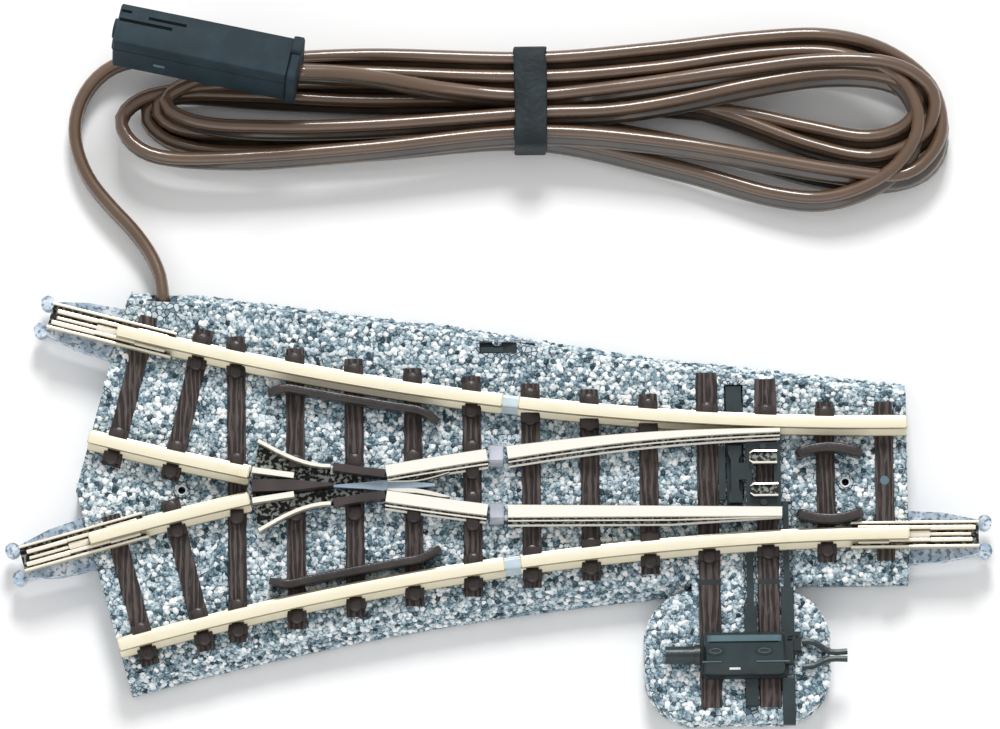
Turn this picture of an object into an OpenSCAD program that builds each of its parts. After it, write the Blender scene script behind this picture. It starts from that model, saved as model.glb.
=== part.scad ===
// Electric wye turnout for 9 mm gauge model track, on a moulded ballast roadbed, with its lead and plug.
// The frame: +X runs from the heel (where the two legs end) to the toe, +Z up, Y = 0 is the line of symmetry.
// The origin is on the underside, midway between the ends of the two legs.

/* [Track] */
// Distance between the inner faces of the running rails
track_gauge = 9; // [7:0.1:11]
// Radius of the centre line of each leg
curve_radius = 280; // [230:1:340]
// Angle through which each leg turns, in degrees
leg_angle = 15; // [12.5:0.5:18]
// Height of a rail
rail_h = 2; // [1.6:0.1:2.4]
// Width of the rail head
rail_head_w = 1.1; // [0.9:0.05:1.3]
// Width of the rail foot
rail_foot_w = 1.9; // [1.6:0.05:2.3]
// Thickness of the rail foot
rail_foot_t = 0.3; // [0.25:0.05:0.4]
// Thickness of the rail web
rail_web_t = 0.5; // [0.4:0.05:0.6]
// Thickness of the rail head
rail_head_t = 0.65; // [0.5:0.05:0.8]
// Length of the insulated gap in each outer rail
gap_len = 1.4; // [1:0.1:1.8]

/* [Roadbed] */
// Width of the roadbed under plain track
roadbed_w = 18.2; // [16.5:0.1:22]
// Height of the ballast surface
ballast_h = 3.3; // [3.1:0.1:4.2]
// Height of the upright skirt below the sloped shoulder
skirt_h = 0.7; // [0.5:0.1:1]
// Horizontal run of the sloped shoulder
shoulder_run = 1.2; // [0.9:0.1:1.4]
// Thickness of the roof over the drive bay
bay_roof_t = 0.8; // [0.75:0.05:1]
// Thickness of the bottom cover
cover_t = 0.5; // [0.4:0.05:0.6]
// Radius of a track nail hole
nail_hole_r = 0.5; // [0.4:0.05:0.6]

/* [Sleepers] */
// Spacing of the sleepers
sleeper_pitch = 5.31; // [5:0.01:6]
// Width of a sleeper
sleeper_w = 1.7; // [1.4:0.05:2]
// Height of a sleeper
sleeper_h = 0.7; // [0.6:0.05:0.8]
// How far a sleeper stands out of the ballast
sleeper_proud = 0.3; // [0.2:0.05:0.4]
// How far a sleeper reaches past the centre of the outer rail
sleeper_overhang = 2.2; // [1.9:0.05:2.5]

/* [Points] */
// Length of a point blade from its heel pin to its tip
blade_len = 25.65; // [22:0.05:27]
// Travel of the tie bar
throw = 1.15; // [1:0.01:1.3]
// Radius of a blade's heel pin
heel_pin_r = 0.3; // [0.25:0.01:0.35]
// Running clearance of pins in their holes
pin_gap = 0.05; // [0.04:0.01:0.08]
// Side clearance of sliding plastic parts
slide_gap = 0.15; // [0.1:0.01:0.2]

/* [Lead] */
// Diameter of each of the two cores of the lead
core_d = 1.2; // [1:0.05:1.3]
// Height of the wound hank
hank_h = 5; // [4.4:0.1:6]
// Thickness of the tie band
band_t = 0.4; // [0.3:0.05:0.5]
// Length of the plug housing
plug_len = 16.9; // [15:0.1:18]
// Width of the plug housing
plug_w = 4; // [3.9:0.1:5]
// Height of the plug housing
plug_h = 5; // [4.8:0.1:6]
// Radius of each socket in the plug
socket_r = 0.7; // [0.5:0.05:0.8]

/* [Hidden] */
$fn = 48;
eps = 0.01;
NORTH = 1;
SOUTH = -1;

// Track geometry. A distance from the toe end is turned into an X position by from_toe().
track_len = curve_radius * sin(leg_angle);
leg_end_y = curve_radius * (1 - cos(leg_angle));
half_w = roadbed_w / 2;
rail_y = track_gauge / 2 + rail_head_w / 2;
outer_r = curve_radius - rail_y;
inner_r = curve_radius + rail_y;
sleeper_top = ballast_h + sleeper_proud;
rail_top = sleeper_top + rail_h;
arc_fn = 720;
function from_toe(d) = track_len - d;
function turn_at(x, r) = asin((track_len - x) / r);
function leg_y(x) = curve_radius - sqrt(pow(curve_radius, 2) - pow(track_len - x, 2));
function outer_rail_y(x) = curve_radius - sqrt(pow(outer_r, 2) - pow(track_len - x, 2));
function inner_rail_y(x) = sqrt(pow(inner_r, 2) - pow(track_len - x, 2)) - curve_radius;

// The north side of the roadbed stands out over the drive: [share of the length, how far it stands out].
drive_edge = [[0.035, 0.6], [0.113, 1.77], [0.455, 3.05], [0.669, 2.02], [1, 0.15]];
edge_points = [for (s = drive_edge) [s[0] * track_len, leg_y(s[0] * track_len) + half_w + s[1]]];
function north_edge_y(x) = lookup(x, edge_points);
wall_t = 1.9;
bay_south_y = 5.5;
bay_west_x = 3.2;
bay_east_x = from_toe(12.2);
bay_top = ballast_h - bay_roof_t;
cover_lip = 0.6;

// Points
pivot = [from_toe(37.07), inner_rail_y(from_toe(37.07))];
blade_foot_z = sleeper_top + rail_foot_t + 0.15;
blade_flange_t = 0.35;
blade_flange_w = 0.45;
blade_heel_w = 1;
blade_tip_w = 0.25;
blade_gap = 0.15;
tip_x = pivot[0] + blade_len;
closed_tip_y = outer_rail_y(tip_x) - rail_head_w / 2 - blade_gap - blade_tip_w / 2;
blade_angle = asin((closed_tip_y - pivot[1]) / blade_len);
tie_x = from_toe(13.05);
tie_reach = tie_x - pivot[0];
throw_angle = asin(throw / tie_reach);
clip_x0 = pivot[0] - 0.7;
clip_x1 = pivot[0] + 0.75;
gap_x = pivot[0] + 1.35;
frog_x = track_len - sqrt(pow(inner_r - rail_head_w / 2, 2) - pow(curve_radius, 2));
leg_rail_x = frog_x - 8.9;
closure_x = frog_x + 3.4;
nail_xs = [7, from_toe(5.6)];

// Sleepers
first_sleeper_d = 2.07;
sleeper_count = floor((track_len - 8 - first_sleeper_d) / sleeper_pitch) + 1;
sleeper_xs = [for (i = [0 : sleeper_count - 1]) from_toe(first_sleeper_d + i * sleeper_pitch)];
machine_sleeper_ids = [2, 3];
leg_sleeper_turns = [for (s = [2.4, 7.75]) leg_angle - s * 180 / (PI * curve_radius)];
chair_r = 0.42;
chair_h = 0.4;
chair_off = rail_foot_w / 2 + chair_r + 0.03;
function joined_rail_r(side) = side == NORTH ? outer_r : inner_r;
function is_machine_sleeper(i) = i == machine_sleeper_ids[0] || i == machine_sleeper_ids[1];
function sleeper_north_end(i) = is_machine_sleeper(i) ? north_edge_y(sleeper_xs[i]) - shoulder_run - 0.1
    : outer_rail_y(sleeper_xs[i]) + sleeper_overhang;
function sleeper_south_end(i) = is_machine_sleeper(i) ? machine_joint_y
    : -outer_rail_y(sleeper_xs[i]) - sleeper_overhang;

// Dummy point machine beside the track
machine_joint_y = -half_w + 0.05;
machine_x = from_toe(15.6);
machine_w = 16.4;
machine_d = 11.7;
machine_corner_r = 4.4;
machine_y = machine_joint_y - 0.85 - machine_d / 2;
machine_neck = [-4, 5.3];
machine_sleeper_end = machine_joint_y - 11.4;
machine_sleeper_w = sleeper_w + 0.3;
throw_rod_x = machine_x + 1.25;
detector_rod_x = machine_x + 4.56;

// Drive
arm_x = from_toe(15.57);
arm_w = 1.4;
arm_z0 = bay_top + 0.05;
arm_top = blade_foot_z + 0.15;
arm_north_y = 8.9;
arm_south_y = -2;
cam_pin_r = 0.4;
cam_pin_y = 8;
slider_z0 = cover_t + 0.15;
slider_t = 0.8;
slider_y = 9.2;
slider_half_w = 0.5;
lever_x = pivot[0] + 0.3;
lever_window_l = throw + 2.25;
lever_window_y = [north_edge_y(lever_x) - 2.25, north_edge_y(lever_x) - 1.15];
coil_x = 18.5;
coil_len = 9;
coil_y = 11.6;
coil_z = (cover_t + bay_top) / 2;
screw_points = [[7.5, 7.6], [31, 7.4], [from_toe(21), 7.3]];
screw_r = 0.45;

// Lead and plug. The free stretch runs from the roadbed round to the back of the hank.
lead_w = 2 * core_d;
lead_x = 5.4;
lead_route = [[lead_x, 17.2, 1.75], [5.3, 18.6, 1.7], [5, 20.3, 1.5], [4.1, 22.3, 1.25], [2.6, 24.4, 1.25],
    [0.7, 26.5, 1.25], [-1.1, 28.8, 1.25], [-2.2, 31.2, 1.25], [-2.6, 33.6, 1.25], [-2.2, 35.9, 1.25],
    [-1.1, 37.9, 1.25], [0.6, 39.4, 1.3], [2.8, 40.1, 1.5], [5, 39.9, 1.8]];
lead_rings = 24;
hank_left = [6, 33.6];
hank_left_r = 4.7;
hank_right = [69, 33.1];
hank_right_r = 8.2;
hank_waist_x = 38.9;
hank_waist_y = [31.3, 39.9];
band_w = 3.1;
plug_base = [9.68, 38.65, hank_h + band_t + 0.5];
plug_yaw = -12.5;
plug_roll = -14;

// Shared shapes

// The points of a strip of even width along a line of points.
function normal_at(points, i) = let(
    a = points[max(i - 1, 0)], b = points[min(i + 1, len(points) - 1)], d = (b - a) / norm(b - a)
) [-d[1], d[0]];
function strip(points, width) = concat(
    [for (i = [0 : len(points) - 1]) points[i] + width / 2 * normal_at(points, i)],
    [for (i = [len(points) - 1 : -1 : 0]) points[i] - width / 2 * normal_at(points, i)]);

module on_side(side) {
    if (side == NORTH) children();
    else mirror([0, 1, 0]) children();
}

// Each end of the turnout: local +X points outwards and the joined rail is at local -Y.
module at_toe_end() { translate([track_len, 0, 0]) children(); }
module at_leg_end(side) {
    translate([0, side * leg_end_y, 0]) rotate([0, 0, 180 - side * leg_angle]) children();
}

// A cross-section carried round the leg's centre, drawn for the north leg between two turns.
module along_leg(r, turn_a, turn_b) {
    translate([track_len, curve_radius, 0]) rotate([0, 0, 270 - turn_b])
        rotate_extrude(angle = turn_b - turn_a, $fn = arc_fn) translate([r, 0]) children();
}

module rail_section() {
    polygon([[-rail_foot_w / 2, 0], [rail_foot_w / 2, 0], [rail_foot_w / 2, rail_foot_t],
        [rail_web_t / 2, rail_foot_t], [rail_web_t / 2, rail_h - rail_head_t],
        [rail_head_w / 2, rail_h - rail_head_t], [rail_head_w / 2, rail_h], [-rail_head_w / 2, rail_h],
        [-rail_head_w / 2, rail_h - rail_head_t], [-rail_web_t / 2, rail_h - rail_head_t],
        [-rail_web_t / 2, rail_foot_t], [-rail_foot_w / 2, rail_foot_t]]);
}

module rail_between(r, x_a, x_b) {
    along_leg(r, turn_at(x_b, r), turn_at(x_a, r)) translate([0, sleeper_top]) rail_section();
}

module slab(z0, z1, points) { translate([0, 0, z0]) linear_extrude(z1 - z0) polygon(points); }

module box(low, high) { translate(low) cube(high - low); }

// Roadbed

function bay_outline(margin) = [
    [bay_west_x - margin, bay_south_y - margin], [bay_east_x + margin, bay_south_y - margin],
    [bay_east_x + margin, north_edge_y(bay_east_x) - wall_t + margin],
    for (i = [3 : -1 : 1]) [edge_points[i][0], edge_points[i][1] - wall_t + margin],
    [bay_west_x - margin, north_edge_y(bay_west_x) - wall_t + margin - 0.4]];

module ground_plan() {
    face = [sin(leg_angle), cos(leg_angle)];
    south_turns = [for (k = [0 : 12]) leg_angle * k / 12];
    south_r = curve_radius - half_w;
    apex_x = -leg_end_y * tan(leg_angle);
    polygon(concat(
        [[apex_x, 0]],
        [[0, -leg_end_y] + half_w * [face[0], -face[1]]],
        [for (k = [11 : -1 : 4]) [track_len - south_r * sin(south_turns[k]),
            south_r * cos(south_turns[k]) - curve_radius]],
        [[machine_x - 4.6, machine_joint_y - 0.5], [machine_x - 4.1, machine_joint_y],
            [track_len, machine_joint_y]],
        [for (i = [4 : -1 : 0]) edge_points[i]],
        [[0, leg_end_y] + (half_w + 0.6) * face]));
}

// A wedge that bevels the top edge from one point to the next, with the ground to its right.
module shoulder_cut(a, b) {
    run = norm(b - a);
    translate([a[0], a[1], 0]) rotate([0, 0, atan2(b[1] - a[1], b[0] - a[0])])
        translate([-1, 0, 0]) rotate([90, 0, 90])
            linear_extrude(run + 2)
                polygon([[-shoulder_run, ballast_h + eps], [eps, skirt_h], [2, skirt_h], [2, ballast_h + 1],
                    [-shoulder_run, ballast_h + 1]]);
}

module shoulders() {
    for (i = [0 : 3]) shoulder_cut(edge_points[i], edge_points[i + 1]);
    shoulder_cut([track_len, machine_joint_y], [machine_x + 5.4, machine_joint_y]);
    mirror([0, 1, 0]) along_leg(curve_radius - half_w, turn_at(machine_x - 4.6, curve_radius), leg_angle)
        polygon([[shoulder_run, ballast_h + eps], [-eps, skirt_h], [-2, skirt_h], [-2, ballast_h + 1],
            [shoulder_run, ballast_h + 1]]);
}

// A pair of plastic tongues that grip the next roadbed, one each side of the joined rail.
module tongues() {
    reach = 6.4;
    knob_r = 0.65;
    for (s = [-1, 1]) {
        slab(1.4, 2.9, [[-eps, -rail_y + s * 1.2], [-eps, -rail_y + s * 2.4], [3.2, -rail_y + s * 2.2],
            [reach, -rail_y + s * 1.5], [reach, -rail_y + s * 0.95]]);
        translate([reach + 0.5, -rail_y + s * 1.3, 1.4]) cylinder(r = knob_r, h = 1.5);
    }
}

module lever_window() {
    box([lever_x - 3.1, bay_south_y + 4, cover_t],
        [lever_x + 2 + throw + 0.2, lever_window_y[1] + 0.05, bay_top]);
    difference() {
        box([lever_x - lever_window_l / 2, lever_window_y[0], bay_top - eps],
            [lever_x + lever_window_l / 2, lever_window_y[1], ballast_h + 1]);
        translate([lever_x - 0.1, lever_window_y[1] + 0.05, 0]) cylinder(r = 0.45, h = ballast_h);
    }
}

module cable_notch() {
    box([4.4, north_edge_y(6) - 1, skirt_h + 1.2], [8.2, north_edge_y(6) + 2, ballast_h + 1]);
    box([lead_x - lead_w / 2 - 0.1, 14.5, cover_t],
        [lead_x + lead_w / 2 + 0.1, north_edge_y(6) + 1.5, cover_t + lead_w + 0.1]);
}

module roadbed() {
    color([0.72, 0.78, 0.8]) difference() {
        union() {
            difference() {
                linear_extrude(ballast_h) ground_plan();
                shoulders();
                lever_window();
                cable_notch();
                slab(cover_t - eps, bay_top, bay_outline(0));
                slab(-1, cover_t, bay_outline(cover_lip));
                box([arm_x - arm_w / 2 - slide_gap, arm_south_y - throw - 0.3, bay_top - 0.05],
                    [arm_x + arm_w / 2 + slide_gap, arm_north_y + 0.15, ballast_h + 1]);
                jumper_grooves();
                machine_rod_grooves();
            }
            for (p = screw_points) translate([p[0], p[1], cover_t]) cylinder(r = 1.1, h = bay_top - cover_t + eps);
            for (x = nail_xs) translate([x, 0, ballast_h - eps]) cylinder(r = nail_hole_r + 0.2, h = 0.2);
            at_toe_end() tongues();
            for (side = [NORTH, SOUTH]) at_leg_end(side) tongues();
        }
        sleeper_bars();
        for (x = nail_xs) translate([x, 0, -1]) cylinder(r = nail_hole_r, h = ballast_h + 3);
        for (p = screw_points) translate([p[0], p[1], -1]) cylinder(r = screw_r, h = bay_top + 1.2);
    }
}

module bottom_cover() {
    color([0.25, 0.27, 0.28]) difference() {
        slab(0, cover_t, bay_outline(cover_lip - 0.05));
        for (p = screw_points) translate([p[0], p[1], -1]) {
            cylinder(r = screw_r + 0.1, h = 3);
            cylinder(r = screw_r + 0.45, h = 1.3);
        }
    }
}

module cover_screws() {
    color([0.75, 0.75, 0.75]) for (p = screw_points) translate([p[0], p[1], 0.05]) difference() {
        union() {
            cylinder(r = screw_r + 0.35, h = 0.25);
            cylinder(r = screw_r, h = bay_top - 0.4);
        }
        translate([-0.12, -1, -1]) cube([0.24, 2, 1.12]);
    }
}

// Sleepers

module sleeper_bars() {
    for (i = [0 : sleeper_count - 1])
        box([sleeper_xs[i] - sleeper_w / 2, sleeper_south_end(i), sleeper_top - sleeper_h],
            [sleeper_xs[i] + sleeper_w / 2, sleeper_north_end(i), sleeper_top]);
    for (side = [NORTH, SOUTH], turn = leg_sleeper_turns) on_side(side)
        translate([track_len, curve_radius, 0]) rotate([0, 0, -turn])
            box([-sleeper_w / 2, -outer_r - rail_y - 7.3 + 0.4, sleeper_top - sleeper_h],
                [sleeper_w / 2, -outer_r + sleeper_overhang, sleeper_top]);
}

module chair(x, y) {
    translate([x, y, sleeper_top - eps]) cylinder(r = chair_r, h = chair_h + eps, $fn = 24);
}

// A sleeper has a chair outside each outer rail, and inside it where no blade or check rail lies.
// The joiners' rails have none at their end sleeper.
module sleepers() {
    function has_inner_chair(x) = x < pivot[0] && abs(x - frog_x - 0.5) > 8;
    color([0.3, 0.25, 0.23]) union() {
        sleeper_bars();
        for (i = [0 : sleeper_count - 1], side = [NORTH, SOUTH]) {
            x = sleeper_xs[i];
            if (i > 0 || side == NORTH) chair(x, side * (outer_rail_y(x) + chair_off));
            if (has_inner_chair(x)) chair(x, side * (outer_rail_y(x) - chair_off));
        }
        for (side = [NORTH, SOUTH], k = [0, 1], r = [outer_r, inner_r], s = [-1, 1])
            if (k > 0 || r != joined_rail_r(side)) on_side(side)
                translate([track_len, curve_radius, 0]) rotate([0, 0, -leg_sleeper_turns[k]])
                    chair(0, -r + s * chair_off);
    }
}

// Check rails: a long one opposite the frog beside each outer rail and a short one near the toe.
module check_rails() {
    check_w = 0.65;
    check_top = rail_top - 0.3;
    flangeway = 0.9;
    check_r = outer_r + rail_head_w / 2 + flangeway + check_w / 2;
    function arch(y) = [for (k = [-4 : 4]) [from_toe(7.1) + k * 0.74, y - pow(k / 4, 2) * 0.65]];
    color([0.3, 0.25, 0.23]) for (side = [NORTH, SOUTH]) on_side(side) {
        along_leg(check_r, turn_at(frog_x + 6.4, check_r), turn_at(frog_x - 5.4, check_r))
            translate([-check_w / 2, sleeper_top]) square([check_w, check_top - sleeper_top]);
        for (end = [[frog_x + 6.4, 1], [frog_x - 5.4, -1]]) {
            turn = turn_at(end[0], check_r);
            p = [track_len - check_r * sin(turn), curve_radius - check_r * cos(turn)];
            q = p + [end[1] * 2, -0.45 - end[1] * 2 * tan(turn)];
            slab(sleeper_top, check_top, strip([p, q], check_w));
        }
        slab(sleeper_top, check_top, strip(arch(side == NORTH ? 2.95 : 3.6), check_w + 0.1));
    }
}

// Rails

module stock_rail_toe(side) {
    color([0.9, 0.86, 0.7]) on_side(side) rail_between(outer_r, gap_x + gap_len / 2, track_len);
}

module stock_rail_heel(side) {
    color([0.9, 0.86, 0.7]) on_side(side)
        along_leg(outer_r, turn_at(gap_x - gap_len / 2, outer_r), leg_angle)
            translate([0, sleeper_top]) rail_section();
}

module leg_rail(side) {
    color([0.9, 0.86, 0.7]) on_side(side)
        along_leg(inner_r, turn_at(leg_rail_x, inner_r), leg_angle)
            translate([0, sleeper_top]) rail_section();
}

module gap_block(side) {
    color([0.7, 0.76, 0.8]) on_side(side)
        along_leg(outer_r, turn_at(gap_x + gap_len / 2, outer_r), turn_at(gap_x - gap_len / 2, outer_r))
            translate([0, sleeper_top]) rail_section();
}

module closure_rail(side) {
    color([0.92, 0.9, 0.85]) on_side(-side) rail_between(inner_r, closure_x, clip_x0 - 0.1);
}

// Frog

module frog_nose() {
    color([0.28, 0.23, 0.22]) slab(sleeper_top, rail_top - 0.1,
        [[leg_rail_x + 0.2, -0.55], [frog_x - 5.2, -0.5], [frog_x - 1.35, -0.1], [frog_x - 1.35, 0.1],
            [frog_x - 5.2, 0.5], [leg_rail_x + 0.2, 0.55]]);
}

module frog_floor() {
    top = sleeper_top + 1;
    color([0.66, 0.74, 0.8]) union() {
        slab(sleeper_top, top, [[frog_x - 1.35, -0.1], [frog_x + 1.5, -0.3], [frog_x + 3.1, -0.48],
            [frog_x + 3.1, 0.48], [frog_x + 1.5, 0.3], [frog_x - 1.35, 0.1]]);
        slab(sleeper_top + rail_foot_t + 0.05, top, [[frog_x + 3, -0.48], [frog_x + 7.8, -0.12],
            [frog_x + 7.8, 0.12], [frog_x + 3, 0.48]]);
    }
}

// A stamped plate: a floor, an outer flange that flares away from the wheel path and a short running head.
module wing_plate(side) {
    flange_t = 0.3;
    plate_t = 0.3;
    flare = [for (k = [0 : 8]) let(u = k / 8)
        [frog_x - 8.1 + u * 6.5, 4.1 - 2.4 * sin(90 * u)]];
    head = [[leg_rail_x + 0.25, 1.4], [frog_x - 4.9, 0.85]];
    color([0.85, 0.83, 0.78]) on_side(side) {
        slab(sleeper_top, sleeper_top + plate_t, concat(
            [for (p = flare) p],
            [[frog_x + 1.5, 0.75], [frog_x + 1.4, 0.4], [frog_x - 1.3, 0.25], [frog_x - 5, 0.6],
                [leg_rail_x + 0.25, 0.65]]));
        slab(sleeper_top + plate_t - eps, rail_top - 0.1, strip(flare, flange_t));
        slab(sleeper_top + plate_t - eps, rail_top, strip(head, 0.5));
    }
}

module wing_rail(side) {
    bar = [[frog_x - 1.35, 1.65], [frog_x + 1.4, 1.2], [closure_x - 0.1, 0.98]];
    color([0.28, 0.23, 0.22]) on_side(side) difference() {
        slab(sleeper_top, rail_top - 0.15, strip(bar, 0.7));
        box([frog_x - 3, -1, 0], [frog_x + 1.6, 3, sleeper_top + 0.32]);
    }
}

// Heel of the blades: a clip bridges the blade's ear and holds the pin that it turns on.
module heel_clip(side) {
    clip_w = 2.3;
    ear_z = blade_foot_z;
    y0 = pivot[1] - clip_w / 2;
    color([0.75, 0.78, 0.8]) on_side(side) difference() {
        box([clip_x0, y0, sleeper_top], [clip_x1, y0 + clip_w, ear_z + 1]);
        box([clip_x0 - 1, y0 + 0.35, ear_z - 0.05], [clip_x1 + 1, y0 + clip_w - 0.35, ear_z + 0.5]);
        translate([pivot[0], pivot[1], 0]) cylinder(r = heel_pin_r, h = rail_top + 1);
    }
}

module heel_pins() {
    color([0.8, 0.8, 0.8]) for (side = [NORTH, SOUTH]) translate([pivot[0], side * pivot[1], sleeper_top])
        cylinder(r = heel_pin_r, h = blade_foot_z + 1 - sleeper_top + 0.1);
}

// Point blades: drawn in a frame with the heel pin at the origin and the tip along +X.
module blade_shape() {
    head = [[1.1, -blade_heel_w / 2], [blade_len, -blade_tip_w / 2], [blade_len, blade_tip_w / 2],
        [1.1, blade_heel_w / 2]];
    flange = [[0.9, -blade_heel_w / 2 - blade_flange_w], [blade_len - 0.6, -blade_tip_w / 2 - blade_flange_w],
        [blade_len, -blade_tip_w / 2], [blade_len, blade_tip_w / 2], [0.9, blade_heel_w / 2]];
    difference() {
        union() {
            slab(blade_foot_z, rail_top, head);
            slab(blade_foot_z, blade_foot_z + blade_flange_t, flange);
            slab(blade_foot_z, blade_foot_z + blade_flange_t,
                [[-0.5, -0.6], [1.2, -0.6], [1.2, 0.5], [-0.5, 0.5]]);
        }
        cylinder(r = heel_pin_r + pin_gap, h = rail_top + 1);
    }
}

// The tab stands on the blade's inner flange and reaches over the tie bar's pin.
tab_z = blade_foot_z + blade_flange_t;
tab_hole_r = 0.42;
tab_reach = 1.6;
module blade_tab_shape() {
    near = blade_tip_w / 2 + 0.1;
    difference() {
        slab(tab_z, tab_z + 0.2, [[tie_reach - 0.8, -near], [tie_reach - 0.8, -near - tab_reach],
            [tie_reach + 0.8, -near - tab_reach], [tie_reach + 0.8, -near]]);
        translate([tie_reach, -near - tab_reach + 0.6, 0]) cylinder(r = tab_hole_r, h = rail_top + 1);
    }
}

module place_blade(side) {
    rest_angle = side == NORTH ? blade_angle : blade_angle - throw_angle;
    on_side(side) translate([pivot[0], pivot[1], 0]) rotate([0, 0, rest_angle]) children();
}

module blade(side) { color([0.92, 0.91, 0.88]) place_blade(side) blade_shape(); }
module blade_tab(side) { color([0.85, 0.8, 0.6]) place_blade(side) blade_tab_shape(); }

// Where the tie bar's pin stands at rest for each blade.
tab_pin_off = blade_tip_w / 2 + 0.1 + tab_reach - 0.6;
function tie_pin(side) = let(a = side == NORTH ? blade_angle : blade_angle - throw_angle)
    [pivot[0] + tie_reach * cos(a) + tab_pin_off * sin(a),
        side * (pivot[1] + tie_reach * sin(a) - tab_pin_off * cos(a))];

module tie_bar() {
    z0 = sleeper_top + 0.1;
    z1 = blade_foot_z + 0.2;
    x0 = tie_x - 1.5;
    x1 = tie_x + 1.6;
    y0 = tie_pin(SOUTH)[1] - 0.45;
    y1 = tie_pin(NORTH)[1] + 0.45;
    color([0.13, 0.2, 0.19]) union() {
        difference() {
            box([x0, y0, z0], [x1, y1, z1]);
            box([x0 + 0.5, y0 + 1.5, z0 - 1], [x1 - 0.6, y1 - 1.5, z1 + 1]);
        }
        for (side = [NORTH, SOUTH]) translate([tie_pin(side)[0], tie_pin(side)[1], z1 - eps])
            cylinder(r = heel_pin_r, h = 0.45);
    }
}

// Drive arm: lies in its slot under the rails, rises between the blades and hooks on to the tie bar.
module drive_arm() {
    x0 = arm_x - arm_w / 2;
    x1 = arm_x + arm_w / 2;
    color([0.12, 0.2, 0.19]) union() {
        box([x0, arm_south_y, arm_z0], [x1, arm_north_y, ballast_h - 0.05]);
        slab(ballast_h - 0.1, arm_top, [[x0 + 0.1, arm_south_y + 0.1], [x1 - 0.1, arm_south_y + 0.1],
            [x1 - 0.1, arm_south_y + 0.7], [arm_x + 0.35, arm_south_y + 1.3], [arm_x + 0.35, 2],
            [x1 - 0.1, 2.6], [x1 - 0.1, 3.3], [x0 + 0.1, 3.3], [x0 + 0.1, 2.6], [arm_x - 0.35, 2],
            [arm_x - 0.35, arm_south_y + 1.3], [x0 + 0.1, arm_south_y + 0.7]]);
        box([arm_x, 0.2, sleeper_top + 0.1], [tie_x - 1.5, 1.7, arm_top]);
        translate([arm_x, cam_pin_y, slider_z0 + 0.1]) cylinder(r = cam_pin_r, h = arm_z0 - slider_z0);
    }
}

module arm_guide() {
    x0 = arm_x - arm_w / 2 - slide_gap;
    color([0.12, 0.2, 0.19]) box([sleeper_xs[3] + sleeper_w / 2 + 0.13, -1.6, ballast_h],
        [x0, 3.3, sleeper_top + 0.35]);
}

// Slider: a flat bar in the drive bay. Its slanted slot turns travel along X into travel across the track.
module drive_slider() {
    z1 = slider_z0 + slider_t;
    slot_w = cam_pin_r + pin_gap;
    color([0.85, 0.85, 0.8]) difference() {
        union() {
            slab(slider_z0, z1, [[magnet_x1, coil_y - 0.8], [lever_x - 4, slider_y - slider_half_w],
                [arm_x - 4, slider_y - slider_half_w], [arm_x - 2.6, 5.85], [arm_x + 1.4, 5.85],
                [arm_x + 1.4, 8.8], [arm_x - 2.6, 8.8], [arm_x - 5.4, slider_y + slider_half_w],
                [lever_x - 3.6, slider_y + slider_half_w], [magnet_x1, coil_y + 0.8]]);
            box([lever_x - 2.9, slider_y - 0.4, slider_z0], [lever_x + 2, lever_window_y[1], z1]);
        }
        for (k = [0, 1]) translate([arm_x - k * throw, cam_pin_y - k * throw, 0]) cylinder(r = slot_w, h = 4);
        translate([arm_x, cam_pin_y, 0]) rotate([0, 0, 225])
            translate([0, -slot_w, 0]) cube([throw * sqrt(2), 2 * slot_w, 4]);
    }
}

module hand_lever() {
    z0 = slider_z0 + slider_t;
    color([0.12, 0.2, 0.19]) union() {
        box([lever_x - 2.9, lever_window_y[0] - 0.05, z0], [lever_x + 2, lever_window_y[1], bay_top - 0.1]);
        box([lever_x - lever_window_l / 2 + 0.1, lever_window_y[0] + 0.1, bay_top - 0.2],
            [lever_x + lever_window_l / 2 - throw - 0.1, lever_window_y[0] + 0.6, ballast_h - 0.2]);
    }
}

// Drive bay: a flat coil with a sliding magnet, its pole plates and the lead's terminals.
magnet_h = 0.7;
magnet_w = 2;
magnet_x1 = coil_x + coil_len / 2 + 1.2;
module coil_bobbin() {
    bore_h = magnet_h + 0.2;
    bore_w = magnet_w + 0.2;
    tube = [bore_h + 0.3, bore_w + 0.3];
    color([0.9, 0.9, 0.86]) difference() {
        union() {
            translate([coil_x - coil_len / 2, coil_y - tube[1] / 2, coil_z - tube[0] / 2])
                cube([coil_len, tube[1], tube[0]]);
            for (x = [coil_x - coil_len / 2, coil_x + coil_len / 2 - 0.4])
                translate([x, coil_y - 2, cover_t + 0.1]) cube([0.4, 4, bay_top - cover_t - 0.2]);
        }
        translate([0, coil_y - bore_w / 2, coil_z - bore_h / 2]) cube([50, bore_w, bore_h]);
    }
}

module coil_winding() {
    x0 = coil_x - coil_len / 2 + 0.4;
    len = coil_len - 0.8;
    inner = [magnet_h + 0.5, magnet_w + 0.5];
    outer = [bay_top - cover_t - 0.35, 3.6];
    color([0.72, 0.42, 0.2]) difference() {
        translate([x0, coil_y - outer[1] / 2, coil_z - outer[0] / 2]) cube([len, outer[1], outer[0]]);
        translate([x0 - 1, coil_y - inner[1] / 2, coil_z - inner[0] / 2]) cube([len + 2, inner[1], inner[0]]);
    }
}

module pole_plates() {
    color([0.6, 0.6, 0.62]) for (s = [-1, 1]) translate([coil_x + s * (coil_len / 2 + 0.3), coil_y, coil_z])
        difference() {
            translate([-0.25, -1.9, -0.8]) cube([0.5, 3.8, 1.6]);
            translate([-1, -magnet_w / 2 - 0.1, -magnet_h / 2 - 0.1]) cube([2, magnet_w + 0.2, magnet_h + 0.2]);
        }
}

module drive_magnet() {
    color([0.35, 0.36, 0.38]) translate([coil_x - coil_len / 2 + 0.6, coil_y - magnet_w / 2, coil_z - magnet_h / 2])
        cube([magnet_x1 - coil_x + coil_len / 2 - 0.6, magnet_w, magnet_h]);
}

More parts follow.
